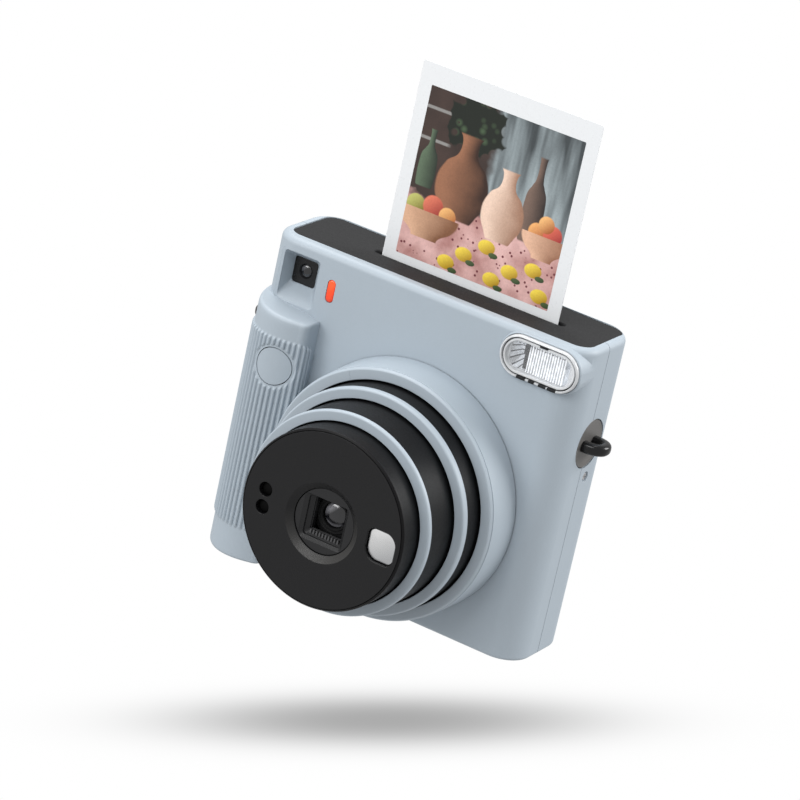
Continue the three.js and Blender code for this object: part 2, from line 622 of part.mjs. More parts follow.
const hatchOpening = () => [
  upright(hatchShape(GAP), -1, 3),
  box(HATCH.left - GAP, HATCH.right + GAP, HATCH.rear - 3, HATCH.rear + GAP, -1, 3),
  rodAlongX(0.75, HATCH.left - 1.7, HATCH.right + 1.7, HATCH_PIVOT.y, HATCH_PIVOT.z, 10),
];
const batteryDoor = () => join(
  upright(hatchShape(0), 0.4, 1.9).intersect(box(-80, 0, -40, HATCH_PIVOT.y, 0, 3)),
  rodAlongX(0.75, HATCH.left + 1.5, HATCH.right - 1.5, HATCH_PIVOT.y, HATCH_PIVOT.z, 12),
  rodAlongX(0.45, HATCH.left - 1.3, HATCH.right + 1.3, HATCH_PIVOT.y, HATCH_PIVOT.z, 8),
);
const contactPlate = () => box(CELL.x - 5, CELL.x + 5, CELL.y - 5, CELL.y + 5, 2.5, 2.9);

// ---- Electronics, lugs and small parts ----
const mainBoard = () => cut(
  box(54.2, 55.6, -14.6, 12.6, 10, 55),
  rodAlongX(1.5, 50, 60, -10, 18, 10),
);
const lugPlate = (side) => {
  const inner = side > 0 ? SIDE_RIGHT - 0.9 : GRIP_LEFT + 0.2;
  return rodAlongX(LUG.r, inner, inner + 0.7, LUG.y, LUG.z, 32);
};

// A flat loop that stands out sideways, with a hole for the strap's cord.
function lugLoop(side) {
  const s = new THREE.Shape();
  const foot = side > 0 ? SIDE_RIGHT + 0.1 : GRIP_LEFT - 0.1;
  const tip = foot + side * LUG.reach;
  const [y0, y1] = [LUG.y - 5.6, LUG.y + 5.6];
  s.moveTo(foot, y0);
  s.bezierCurveTo(tip - side * 2, y0, tip, y0 + 2.4, tip, LUG.y);
  s.bezierCurveTo(tip, y1 - 2.4, tip - side * 2, y1, foot, y1);
  const hole = rodAlongZ(2.3, LUG.z - 5, LUG.z + 5, foot + side * 3.2, LUG.y, 16);
  return cut(upright(s, LUG.z - 1.8, LUG.z + 1.8, 0, 6), hole);
}

const sideScrew = () => join(
  rodAlongX(1.4, SIDE_RIGHT - 0.9, SIDE_RIGHT - 0.2, 3.3, 67.8, 12),
).subtract(box(SIDE_RIGHT - 0.5, SIDE_RIGHT, 3, 3.6, 66.8, 68.8));
const counterWindow = () => rodAlongY(3.1, HALF_DEPTH - 1.8, HALF_DEPTH - 0.4, -50, 30, 20);
const counterDial = () => cut(rodAlongY(9, 13.6, 14.8, -50, 36.5, 32), rodAlongY(1.3, 10, 16, -50, 36.5, 10));
const dialPost = () => rodAlongY(0.9, 13.2, HALF_DEPTH - WALL + 0.3, -50, 36.5, 10);

// ---- Assembly ----
const paint = (color, roughness, metalness = 0) =>
  new THREE.MeshStandardMaterial({ color, roughness, metalness });
const PAINT = {
  shell: paint(0xaab8c2, 0.55),
  plate: paint(0x4a4a4b, 0.6),
  black: paint(0x232325, 0.45),
  inner: paint(0x1b1b1d, 0.7),
  clear: new THREE.MeshStandardMaterial({ color: 0xeef2f5, roughness: 0.05, transparent: true, opacity: 0.35 }),
  chrome: paint(0xd8dadb, 0.12, 1),
  steel: paint(0x9a9c9e, 0.35, 1),
  lamp: paint(0xff5a2a, 0.25),
  paper: paint(0xf2f3f4, 0.4),
  taupe: paint(0x86847f, 0.5, 0.3),
  gear: paint(0xe6e2d6, 0.5),
  rubber: paint(0x2b2b2b, 0.9),
  board: paint(0x1f5a38, 0.6),
  cell: paint(0x4b6a8a, 0.4, 0.3),
};

const PARTS = {
  front_cover: [frontCover(), PAINT.shell],
  rear_cover: [rearCover(), PAINT.shell],
  top_plate: [topPlate(), PAINT.plate],
  film_door: [filmDoor(), PAINT.shell],
  film_window: [filmWindow(), PAINT.clear],
  door_hinge_pin: [hingePin(), PAINT.steel],
  door_latch: [doorLatch(), PAINT.black],
  pressure_spring: [pressureSpring(), PAINT.steel],
  chassis: [chassis(), PAINT.inner],
  film_pack: [filmPack(), PAINT.inner],
  film_sheets: [filmSheets(), PAINT.paper],
  print: [printSheet(), PAINT.paper],
  roller_front: [roller(AXES.front), PAINT.rubber],
  roller_rear: [roller(AXES.rear), PAINT.rubber],
  roller_frame: [rollerFrame(), PAINT.steel],
  roller_gear_front: [gear(AXES.front, TEETH.roller, PHASE_FRONT, 1.75), PAINT.gear],
  roller_gear_rear: [gear(AXES.rear, TEETH.roller, PHASE_REAR, 1.75), PAINT.gear],
  idler_gear: [gear(AXES.idler, TEETH.idler, PHASE_IDLER, 1.4), PAINT.gear],
  motor_pinion: [motorPinion(), PAINT.gear],
  motor: [motor(), PAINT.steel],
  lens_ring: [lensRing(), PAINT.shell],
  lens_guide_tube: [guideTube(), PAINT.inner],
  stage_1_barrel: [barrel(TIER_1, 41.2), PAINT.black],
  stage_1_collar: [collar(TIER_1, TIER_2), PAINT.shell],
  stage_2_barrel: [barrel(TIER_2, TIER_1.r - TUBE), PAINT.black],
  stage_2_collar: [collar(TIER_2, TIER_3), PAINT.shell],
  front_barrel: [frontBarrel(), PAINT.black],
  front_plate: [frontPlate(), PAINT.black],
  lens_baffle: [lensBaffle(), PAINT.inner],
  front_lens: [lensElement(4.7, -62.6, 1.1, 1.6), PAINT.clear],
  shutter_housing: [shutterHousing(), PAINT.inner],
  shutter_blade_left: [shutterBlade(-1), PAINT.steel],
  shutter_blade_right: [shutterBlade(1), PAINT.steel],
  selfie_mirror: [selfieMirror(), PAINT.chrome],
  light_sensor_window: [sensorWindow(1), PAINT.inner],
  flash_sensor_window: [sensorWindow(-1), PAINT.inner],
  flash_cover: [flashCover(), PAINT.clear],
  flash_reflector: [flashReflector(), PAINT.chrome],
  flash_tube: [flashTube(), PAINT.clear],
  flash_capacitor: [flashCapacitor(), PAINT.black],
  viewfinder_window: [finderWindow(), PAINT.clear],
  viewfinder_tube: [finderTube(), PAINT.inner],
  eyepiece_frame: [eyepieceFrame(), PAINT.black],
  eyepiece_lens: [eyepieceLens(), PAINT.clear],
  indicator_lamp: [indicatorLamp(), PAINT.lamp],
  shutter_button: [shutterButton(), PAINT.shell],
  button_switch: [buttonSwitch(), PAINT.black],
  battery_lower: [battery(4.8), PAINT.cell],
  battery_upper: [battery(32.6), PAINT.cell],
  battery_bay: [batteryBay(), PAINT.inner],
  battery_contact: [contactPlate(), PAINT.steel],
  battery_door: [batteryDoor(), PAINT.shell],
  main_board: [mainBoard(), PAINT.board],
  strap_lug_right: [lugLoop(1), PAINT.black],
  strap_lug_left: [lugLoop(-1), PAINT.black],
  lug_plate_right: [lugPlate(1), PAINT.taupe],
  lug_plate_left: [lugPlate(-1), PAINT.taupe],
  counter_window: [counterWindow(), PAINT.clear],
  counter_dial: [counterDial(), PAINT.gear],
  side_screw: [sideScrew(), PAINT.steel],
};

const camera = new THREE.Group();
for (const [name, [made, material]] of Object.entries(PARTS)) {
  const mesh = new THREE.Mesh(geometryOf(made), material);
  mesh.name = name;
  camera.add(mesh);
}

export default camera;
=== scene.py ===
"""Looks for a square-format instant camera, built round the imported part. Geometry is in millimetres."""
import math

import bpy
import numpy as np
from mathutils import Matrix, Vector


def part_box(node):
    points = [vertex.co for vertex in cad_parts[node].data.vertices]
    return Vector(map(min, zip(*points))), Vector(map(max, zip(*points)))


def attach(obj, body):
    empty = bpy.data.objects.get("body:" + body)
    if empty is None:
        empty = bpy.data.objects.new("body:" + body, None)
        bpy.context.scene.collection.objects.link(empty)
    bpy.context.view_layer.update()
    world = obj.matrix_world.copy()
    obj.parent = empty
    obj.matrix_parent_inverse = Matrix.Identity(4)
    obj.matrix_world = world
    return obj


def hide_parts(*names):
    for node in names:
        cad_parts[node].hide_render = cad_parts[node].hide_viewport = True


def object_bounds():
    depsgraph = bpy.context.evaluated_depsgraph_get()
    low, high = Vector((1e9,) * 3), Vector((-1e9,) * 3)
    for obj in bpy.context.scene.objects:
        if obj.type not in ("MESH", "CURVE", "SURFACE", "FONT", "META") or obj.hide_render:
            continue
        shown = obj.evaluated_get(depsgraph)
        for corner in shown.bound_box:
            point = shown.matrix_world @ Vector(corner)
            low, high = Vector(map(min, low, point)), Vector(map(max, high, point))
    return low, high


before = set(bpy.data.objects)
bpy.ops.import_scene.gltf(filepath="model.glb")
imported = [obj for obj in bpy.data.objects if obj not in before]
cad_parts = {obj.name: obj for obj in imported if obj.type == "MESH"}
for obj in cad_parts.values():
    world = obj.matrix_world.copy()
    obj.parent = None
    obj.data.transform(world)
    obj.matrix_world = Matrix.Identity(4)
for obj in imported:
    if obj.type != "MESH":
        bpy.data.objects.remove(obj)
CAD_LOW, CAD_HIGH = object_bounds()
MM = 0.001
PI = math.pi


def box_mm(node):
    """Lowest and highest corner of a CAD node in millimetres."""
    low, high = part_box(node)
    return np.array(low) / MM, np.array(high) / MM


def front_centre(node):
    """The centre of a CAD node in the front view."""
    return MIDDLE[node][0], MIDDLE[node][2]


BOX = {name: box_mm(name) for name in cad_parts}
MIDDLE = {name: (low + high) / 2 for name, (low, high) in BOX.items()}

# ---- Driving dimensions, taken from the CAD nodes where they can be ----
# Body: its faces, the radius of its upright corners, its wall, and the plane where the covers meet.
HEIGHT = BOX["front_cover"][1][2]
RIGHT = BOX["front_cover"][1][0]
GRIP_LEFT = BOX["front_cover"][0][0]
REAR = BOX["rear_cover"][1][1]
FRONT = -REAR
LEFT = GRIP_LEFT + 1.85
CORNER = 11.0
WALL = 2.2
PARTING = -1.2
PLATE_LOW, PLATE_HIGH = BOX["top_plate"]
SLOT_X = 7.4

# Grip: its inner flank, its ribs, the points along its crown and its outer side, and the button.
GRIP_RIGHT = -36.9
RIB_PITCH = 1.9
RIB_HEIGHT = 0.8
RIB_BOTTOM, RIB_TOP = 12.0, 86.0
CREST_POINTS = 300
SIDE_POINTS = 150
BUTTON_X, BUTTON_Z = MIDDLE["shutter_button"][0] - 0.35, MIDDLE["shutter_button"][2]
BUTTON_R = 6.75

# Lens: its axis, the front of its face, the centre of the recess in it, and the taking lens.
LENS_X, LENS_Z = front_centre("lens_ring")
FACE = BOX["front_plate"][0][1]
EYE_OF_FACE = (LENS_X, LENS_Z - 0.9)
RECESS_INNER, RECESS_OUTER = 11.85, 14.35
TAKING_EYE = (LENS_X + 0.2, LENS_Z - 0.1)
TAKING_R, TAKING_FRONT = 4.55, -63.9
# The light baffle's square mouth: its outer edge, and the opening it narrows to (x0, x1, z0, z1, corner).
MOUTH_OUTER = np.array([-1.8, 15.9, 38.0, 54.5, 1.5])
MOUTH_INNER = np.array([1.6, 13.6, 40.7, 53.3, 0.8])
MIRROR = MIDDLE["selfie_mirror"]
SENSORS = ("light_sensor_window", "flash_sensor_window")

# Viewfinder: the centres of its recess, its window and its front lens. Strap loops: their centre and sides.
FINDER_X, FINDER_Z = -49.5, 104.5
EYE_X, EYE_Z = front_centre("viewfinder_window")
FINDER_EYE = (EYE_X + 0.2, EYE_Z + 0.3)
FINDER_R = 2.2
LUG_Y, LUG_Z = MIDDLE["strap_lug_right"][1], MIDDLE["strap_lug_right"][2]
SIDES = {1: RIGHT, -1: GRIP_LEFT}

# Flash: its outline, its reflector, the tube's holder and the flutes before it.
FLASH_X, FLASH_Z = front_centre("flash_cover")
FLASH_HALF = (BOX["flash_cover"][1][2] - BOX["flash_cover"][0][2]) / 2
FLASH_WIDTH = BOX["flash_cover"][1][0] - BOX["flash_cover"][0][0]
REFLECTOR_X0, REFLECTOR_X1, REFLECTOR_Z0, REFLECTOR_Z1 = 36.3, 60.6, 104.0, 115.0
HOLDER_X = 42.9
FLUTE_PITCH = 1.0

# Rear: the film door, its hinge and its latch's travel, the counter's window and dial, the screw in the
# side, and under the grip the battery door's two ends. GAP is the gap round a part in a cover.
DOOR_LEFT, DOOR_RIGHT, DOOR_BOTTOM, DOOR_TOP = -38.5, 52.0, 9.0, 97.0
PIVOT = (55.5, 16.5)
COUNTER_WINDOW = (-50, 30)
COUNTER_AXIS = (-50, 36.5)
SCREW_AT = (3.3, 67.8)
LATCH_TRAVEL = 2.0
HATCH_LEFT, HATCH_RIGHT = -60.5, -41.5
GAP = 0.3

# Print: the side of its picture, and the picture's left edge and top edge.
PICTURE_SIDE = 62.0
PICTURE_X0 = (BOX["print"][0][0] + BOX["print"][1][0]) / 2 - PICTURE_SIDE / 2
PICTURE_Z1 = BOX["print"][1][2] - 7.7

# Floor: its distance under the object's middle, and the centre and reach of the shadow on it.
FLOOR_DROP = 127.0
SHADOW_X, SHADOW_Y, SHADOW_WIDE, SHADOW_DEEP = -5.0, -5.5, 70.0, 36.0


# ---- Small geometry tools ----
def unit(v):
    return v / np.linalg.norm(v)


def arc_corner(a, p, b, r, steps):
    """Points of the arc of radius r that rounds corner p between a and b."""
    u, v = unit(a - p), unit(b - p)
    half = math.acos(float(np.clip(u @ v, -1, 1))) / 2
    reach = min(r / math.tan(half), 0.49 * np.linalg.norm(a - p), 0.49 * np.linalg.norm(b - p))
    r = reach * math.tan(half)
    centre = p + unit(u + v) * r / math.sin(half)
    start, end = p + u * reach - centre, p + v * reach - centre
    first = math.atan2(start[1], start[0])
    turn = (math.atan2(end[1], end[0]) - first + PI) % (2 * PI) - PI
    angles = first + turn * np.linspace(0, 1, steps + 1)
    return centre + r * np.stack([np.cos(angles), np.sin(angles)], axis=1)


def filleted(points, steps=5):
    """A closed 2-D outline from (u, v, corner radius) rows."""
    out = []
    count = len(points)
    for i, (u, v, r) in enumerate(points):
        p = np.array([u, v], float)
        if r <= 0:
            out.append(p[None])
            continue
        a = np.array(points[i - 1][:2], float)
        b = np.array(points[(i + 1) % count][:2], float)
        out.append(arc_corner(a, p, b, r, steps))
    return np.concatenate(out)


def round_rect(u0, u1, v0, v1, r, corner=8, edge=1):
    """A rounded rectangle's outline, with the same number of points whatever its size."""
    out = []
    centres = [(u1 - r, v0 + r, -PI / 2), (u1 - r, v1 - r, 0), (u0 + r, v1 - r, PI / 2), (u0 + r, v0 + r, PI)]
    for i, (cu, cv, first) in enumerate(centres):
        angles = first + np.linspace(0, PI / 2, corner + 1)
        out.append(np.stack([cu + r * np.cos(angles), cv + r * np.sin(angles)], axis=1))
        nu, nv, turn = centres[(i + 1) % 4]
        end = np.array([nu + r * math.cos(turn), nv + r * math.sin(turn)])
        steps = np.linspace(0, 1, edge + 1)[1:-1, None]
        out.append(out[-1][-1] + (end - out[-1][-1]) * steps)
    return np.concatenate(out)


def rect_about(centre, half_u, half_v, r, corner=8):
    """A rounded rectangle's outline about its centre."""
    u, v = centre
    return round_rect(u - half_u, u + half_u, v - half_v, v + half_v, r, corner)


def rect_of(node, r, corner=8, grow=0.0):
    """A rounded rectangle's outline in the front view, from a CAD node's box grown by a distance."""
    low, high = BOX[node]
    return round_rect(low[0] - grow, high[0] + grow, low[2] - grow, high[2] + grow, r + grow, corner)


def normals_of(outline):
    """Outward unit normals of a counter-clockwise closed outline."""
    side = np.roll(outline, -1, axis=0) - np.roll(outline, 1, axis=0)
    normal = np.stack([side[:, 1], -side[:, 0]], axis=1)
    return normal / np.maximum(np.linalg.norm(normal, axis=1), 1e-9)[:, None]


def lift(outline, z):
    """A plan outline (x, y) at height z."""
    return np.column_stack([outline, np.full(len(outline), z)])


def stand(outline, y):
    """A front-view outline (x, z) at depth y."""
    return np.column_stack([outline[:, 0], np.full(len(outline), y), outline[:, 1]])


def skin(rings, loop=False):
    """Vertices and faces of a skin over equal rings, closed at its ends by flat faces."""
    n = len(rings[0])
    verts = np.concatenate(rings)
    faces = []
    for k in range(len(rings) - (0 if loop else 1)):
        a, b = k * n, ((k + 1) % len(rings)) * n
        faces += [(a + i, a + (i + 1) % n, b + (i + 1) % n, b + i) for i in range(n)]
    if not loop:
        faces.append(tuple(range(n - 1, -1, -1)))
        faces.append(tuple(range((len(rings) - 1) * n, len(rings) * n)))
    return verts, faces


def add_mesh(name, verts, faces):
    """A new object from millimetre vertices, with its faces pointing out."""
    mesh = bpy.data.meshes.new(name)
    mesh.from_pydata([tuple(v) for v in np.asarray(verts) * MM], [], faces)
    obj = bpy.data.objects.new(name, mesh)
    bpy.context.scene.collection.objects.link(obj)
    if volume(mesh) < 0:
        mesh.flip_normals()
    return obj


def volume(mesh):
    """Signed volume, to tell which way the faces point."""
    mesh.calc_loop_triangles()
    co = np.empty(len(mesh.vertices) * 3)
    mesh.vertices.foreach_get("co", co)
    co = co.reshape(-1, 3)
    tri = np.empty(len(mesh.loop_triangles) * 3, int)
    mesh.loop_triangles.foreach_get("vertices", tri)
    a, b, c = (co[tri.reshape(-1, 3)[:, k]] for k in range(3))
    return float(np.einsum("ij,ij->i", a, np.cross(b, c)).sum())


def point_about(axis, centre, u, v, t):
    """The point t along a named axis through a centre, and u and v away from it."""
    a, b = centre[0] + u, centre[1] + v
    return {"X": (t, a, b), "Y": (a, t, b), "Z": (a, b, t)}[axis]


def turned(profile, segments=192, axis="Y", centre=(LENS_X, LENS_Z)):
    """Vertices and faces of a closed (radius, distance along) profile turned about an axis."""
    rings = []
    for angle in np.arange(segments) * 2 * PI / segments:
        c, s = math.cos(angle), math.sin(angle)
        rings.append(np.array([point_about(axis, centre, r * c, r * s, t) for r, t in profile], float))
    return skin(rings, loop=True)


def solid_turned(profile, axis="Y", centre=(LENS_X, LENS_Z), segments=64):
    """A turned solid whose profile starts and ends on its axis."""
    angles = np.arange(segments) * 2 * PI / segments
    rings = [
        np.array([point_about(axis, centre, r * math.cos(a), r * math.sin(a), t) for a in angles])
        for r, t in profile[1:-1]
    ]
    verts, faces = skin(rings)
    faces = faces[:-2]
    count = len(verts)
    ends = [point_about(axis, centre, 0, 0, profile[end][1]) for end in (0, -1)]
    start = count - segments
    for i in range(segments):
        j = (i + 1) % segments
        faces.append((count, j, i))
        faces.append((count + 1, start + i, start + j))
    return np.concatenate([verts, ends]), faces


def rod(radius, first, last, axis="Y", centre=(LENS_X, LENS_Z), segments=64):
    """A plain cylinder between two distances along its axis."""
    return solid_turned([(0, first), (radius, first), (radius, last), (0, last)], axis, centre, segments)


def boolean(obj, other, operation):
    """Joins, cuts or trims obj with other, and removes other."""
    mod = obj.modifiers.new("boolean", "BOOLEAN")
    mod.operation = operation
    mod.object = other
    mod.solver = "MANIFOLD"
    graph = bpy.context.evaluated_depsgraph_get()
    result = bpy.data.meshes.new_from_object(obj.evaluated_get(graph))
    obj.modifiers.clear()
    obj.data = result
    bpy.data.objects.remove(other)


def cut(obj, *tools):
    """Cuts (vertices, faces) shapes out of obj."""
    for verts, faces in tools:
        boolean(obj, add_mesh("tool", verts, faces), "DIFFERENCE")


def join(obj, *parts):
    """Joins (vertices, faces) shapes to obj."""
    for verts, faces in parts:
        boolean(obj, add_mesh("tool", verts, faces), "UNION")


def trim(obj, verts, faces):
    """Keeps what obj shares with a shape."""
    boolean(obj, add_mesh("tool", verts, faces), "INTERSECT")


def block(x0, x1, y0, y1, z0, z1, r=0.01, steps=3):
    """A box, or one with rounded upright edges."""
    outline = round_rect(x0, x1, y0, y1, r, steps)
    return skin([lift(outline, z0), lift(outline, z1)])


def pad(outline, y_end, y_start, edge):
    """A front-view outline drawn from y_start to y_end, with a rounded edge at y_end."""
    inward = -normals_of(outline)
    inset = math.copysign(edge, y_start - y_end)
    rings = [stand(outline, y_start)]
    for t in np.linspace(0, PI / 2, 5):
        rings.append(stand(outline + inward * edge * (1 - math.cos(t)), y_end + inset * (1 - math.sin(t))))
    return skin(rings)


def pad_back(outline, y0, y1, edge):
    """A front-view outline drawn from y0 back to y1, with a rounded rear edge."""
    return pad(outline, y1, y0, edge)


def stood(rows, outline_of):
    """A skin over front-view outlines, from (size, depth) rows."""
    return skin([stand(outline_of(size), y) for size, y in rows])


def stadium(grow):
    """The flash outline, grown by a distance: two half circles joined by straight edges."""
    half = FLASH_HALF + grow
    reach = FLASH_WIDTH / 2 + grow - half
    right = np.linspace(-PI / 2, PI / 2, 41)
    ends = [(right, reach), (right + PI, -reach)]
    return np.concatenate([
        np.stack([FLASH_X + dx + half * np.cos(a), FLASH_Z + half * np.sin(a)], axis=1) for a, dx in ends
    ])


def finish(obj, body, slot, material, *nodes, angle=32):
    """Smooths obj, gives it its material, and has it ride with a CAD body in place of the named nodes."""
    obj.data.materials.clear()
    obj.data.materials.append(material)
    obj.data.shade_smooth()
    obj.data.set_sharp_from_angle(angle=math.radians(angle))
    mod = obj.modifiers.new("normals", "WEIGHTED_NORMAL")
    mod.keep_sharp = True
    mod.weight = 70
    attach(obj, body)
    if nodes:
        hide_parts(*nodes)


def piece(name, shape, body, slot, material, *nodes, **options):
    """A finished object from (vertices, faces)."""
    finish(add_mesh(name, *shape), body, slot, material, *nodes, **options)


# ---- Materials ----
class Value:
    """An output of a node tree; arithmetic on it adds the nodes that do it."""

    def __init__(self, nodes, socket):
        self.nodes = nodes
        self.socket = socket

    def __add__(self, other):
        return self.nodes.math("ADD", self, other)

    def __sub__(self, other):
        return self.nodes.math("SUBTRACT", self, other)

    def __rsub__(self, other):
        return self.nodes.math("SUBTRACT", other, self)

    def __mul__(self, other):
        return self.nodes.math("MULTIPLY", self, other)

    def __truediv__(self, other):
        return self.nodes.math("DIVIDE", self, other)

    def __pow__(self, other):
        return self.nodes.math("POWER", self, other)

    def apply(self, operation):
        return self.nodes.math(operation, self)

    def spread(self, a, b, low=0, high=1):
        """Goes from low to high while this value goes from a to b."""
        return self.nodes.value("ShaderNodeMapRange", {0: self, 1: a, 2: b, 3: low, 4: high})


class Nodes:
    """A node tree, and short ways to add to it."""

    def __init__(self, tree):
        self.tree = tree
        tree.nodes.clear()

    def add(self, kind, inputs=None, **settings):
        node = self.tree.nodes.new(kind)
        for key, value in settings.items():
            setattr(node, key, value)
        self.give(node, inputs or {})
        return node

    def give(self, node, inputs):
        """Links values to a node's inputs, or sets them; a colour is three numbers."""
        for key, value in inputs.items():
            socket = node.inputs[key]
            if isinstance(value, Value):
                self.tree.links.new(value.socket, socket)
            else:
                socket.default_value = (*value, 1.0) if socket.type == "RGBA" else value

    def value(self, kind, inputs=None, output=0, **settings):
        return Value(self, self.add(kind, inputs, **settings).outputs[output])

    def math(self, operation, a, b=0.0, clamp=False):
        return self.value("ShaderNodeMath", {0: a, 1: b}, operation=operation, use_clamp=clamp)

    def mix(self, factor, a, b):
        return self.value("ShaderNodeMix", {0: factor, 6: a, 7: b}, 2, data_type="RGBA")

    def noise(self, where, size_mm, detail=2.0, rough=0.5):
        inputs = {"Vector": where, "Scale": 1 / (size_mm * MM), "Detail": detail, "Roughness": rough}
        return self.value("ShaderNodeTexNoise", inputs)

    def cells(self, where, scale):
        """Distance from the nearest of many scattered points."""
        return self.value("ShaderNodeTexVoronoi", {"Vector": where, "Scale": scale}, "Distance")

    def stretched(self, where, scale):
        return self.value("ShaderNodeMapping", {"Vector": where, "Scale": scale})

    def axes(self, where):
        """The x, y and z of a position."""
        return [Value(self, socket) for socket in self.add("ShaderNodeSeparateXYZ", {0: where}).outputs]

    def bump(self, height, strength, depth_mm, edge_mm=0.0):
        """A normal that follows a height, over edges softened by a radius."""
        inputs = {"Strength": strength, "Distance": depth_mm * MM, "Height": height}
        if edge_mm:
            inputs["Normal"] = self.value("ShaderNodeBevel", {"Radius": edge_mm * MM}, samples=4)
        return self.value("ShaderNodeBump", inputs)

    def shade(self, inputs):
        """Sets the inputs of the material's shader, and gives the material back."""
        self.give(self.shader, inputs)
        return self.material


def bare_material(name):
    """The empty node tree of a new material, and the position on its object."""
    material = bpy.data.materials.new(name)
    material.use_nodes = True
    nodes = Nodes(material.node_tree)
    nodes.material = material
    return nodes, nodes.value("ShaderNodeTexCoord", output="Object")


def start_material(name):
    """The same, with a shader joined to its output."""
    nodes, where = bare_material(name)
    nodes.shader = nodes.add("ShaderNodeBsdfPrincipled")
    nodes.add("ShaderNodeOutputMaterial", {"Surface": Value(nodes, nodes.shader.outputs[0])})
    return nodes, where


def ring_mask(nodes, where, centre, inner, outer):
    """1 between two radii about a point of the front view, fading out towards the ring's upper left: where a
    painted highlight goes.
    """
    x, _, z = nodes.axes(where)
    u, v = x - centre[0] * MM, z - centre[1] * MM
    away = (u * u + v * v).apply("SQRT")
    past_inner = away.spread((inner - 0.1) * MM, (inner + 0.1) * MM)
    before_outer = away.spread((outer + 0.1) * MM, (outer - 0.1) * MM)
    return past_inner * before_outer * (v - u * 0.4).spread(6 * MM, -10 * MM)


def plastic(name, color, rough=0.45, grain=0.3, depth=0.03, shade=0.06, edge=0.0, specular=0.5, painted_highlight_band=None):
    """Moulded plastic: fine grain, uneven colour and sheen, and an optional painted highlight: a paler band
    on a bevel.
    """
    nodes, where = start_material(name)
    fine = nodes.noise(where, grain, 3.0, 0.6)
    broad = nodes.noise(where, 22.0)
    speck = nodes.noise(where, grain * 2.2)
    half = shade / 2
    tone = broad.spread(0.3, 0.7, -half, half) + speck.spread(0.3, 0.7, -half, half)
    base = nodes.mix(tone + 0.5, [c * 0.8 for c in color], [min(1.0, c * 1.2) for c in color])
    # Painted highlight: a paler band on a bevel, fading out towards its shaded upper left.
    if painted_highlight_band:
        *ring, highlight_color = painted_highlight_band
        base = nodes.mix(ring_mask(nodes, where, *ring), base, highlight_color)
    return nodes.shade({
        "Base Color": base,
        "Roughness": speck.spread(0.3, 0.7, rough - 0.04, rough + 0.06),
        "Specular IOR Level": specular,
        "Normal": nodes.bump(fine, 1.0, depth, edge),
    })


def metal(name, color, rough):
    """Bare metal with faint brushed streaks."""
    nodes, where = start_material(name)
    lines = nodes.noise(nodes.stretched(where, (0.05, 1.0, 1.0)), 0.25, 3.0, 0.7)
    return nodes.shade({
        "Base Color": nodes.mix(lines, [c * 0.85 for c in color], color),
        "Roughness": lines.spread(0.3, 0.7, rough - 0.08, rough + 0.08),
        "Metallic": 1.0,
        "Normal": nodes.bump(lines, 0.3, 0.01),
    })


def clear(name, alpha, rough=0.04, color=(0.95, 0.97, 1.0), specular=0.8):
    """Clear plastic or glass: mostly see-through, with its gloss kept."""
    nodes, where = start_material(name)
    return nodes.shade({
        "Base Color": color,
        "Alpha": alpha,
        "Specular IOR Level": specular,
        "Roughness": nodes.noise(where, 3.0).spread(0.3, 0.7, rough, rough + 0.03),
    })


def mirror_material():
    """A small convex mirror with a painted reflection, brightest towards its upper left."""
    nodes, where = start_material("mirror_coat")
    x, _, z = nodes.axes(where)
    # Painted reflection: the mirror's colour grows lighter towards its upper left.
    middle = (MIRROR[2] - 0.7 * MIRROR[0]) * MM
    tone = (z - x * 0.7).spread(middle - 6 * MM, middle + 6 * MM)
    return nodes.shade({
        "Base Color": nodes.mix(tone, (0.6, 0.61, 0.62), (0.97, 0.97, 0.97)),
        "Roughness": nodes.noise(where, 2.0).spread(0.3, 0.7, 0.26, 0.3),
        "Metallic": 1.0,
    })


def lens_material(name, centre, r, pale):
    """Dark coated glass with a painted highlight towards its upper left, and a faint painted crescent of
    reflected light low down.
    """
    nodes, where = start_material(name)
    x, _, z = nodes.axes(where)
    u, v = (x - centre[0] * MM) / (r * MM), (z - centre[1] * MM) / (r * MM)
    out = (u * u + v * v).apply("SQRT")
    # Painted highlight: paler towards the upper left; pale sets how bright it is.
    painted_glass_highlight = (v - u).spread(0.35, 1.15) * out.spread(1.0, 0.6, 0.3, 1)
    # Painted reflection: a faint pale crescent low down.
    low = v.spread(-0.45, -0.7) * out.spread(0.6, 0.85, 0, 0.45)
    tone = nodes.math("ADD", painted_glass_highlight, low, clamp=True)
    return nodes.shade({
        "Base Color": nodes.mix(tone, (0.005, 0.005, 0.007), (pale, pale, 1.08 * pale)),
        "Roughness": nodes.noise(where, 4.0).spread(0.3, 0.7, 0.1, 0.14),
        "Specular IOR Level": 0.9,
    })


def lamp_material():
    """Orange moulded cap with painted light: lighter along its upper edge and painted shade deeper in its
    lower facets.
    """
    nodes, where = start_material("lamp_orange")
    low, high = BOX["indicator_lamp"]
    # Painted light: lighter towards the top of the cap and darker in painted shade towards the bottom, varied
    # facet by facet.
    up = nodes.axes(where)[2].spread(low[2] * MM, high[2] * MM)
    facets = nodes.cells(where, 900.0)
    painted_facet_light = up + facets.spread(0.0, 0.8, -0.12, 0.12)
    deep = nodes.mix(painted_facet_light.spread(0.05, 0.4), (0.42, 0.035, 0.02), (0.85, 0.06, 0.015))
    return nodes.shade({
        "Base Color": nodes.mix(painted_facet_light.spread(0.45, 0.95), deep, (1.0, 0.11, 0.03)),
        "Roughness": facets.spread(0.0, 0.8, 0.12, 0.22),
        "Emission Color": (1.0, 0.09, 0.02),
        "Emission Strength": 0.22,
    })


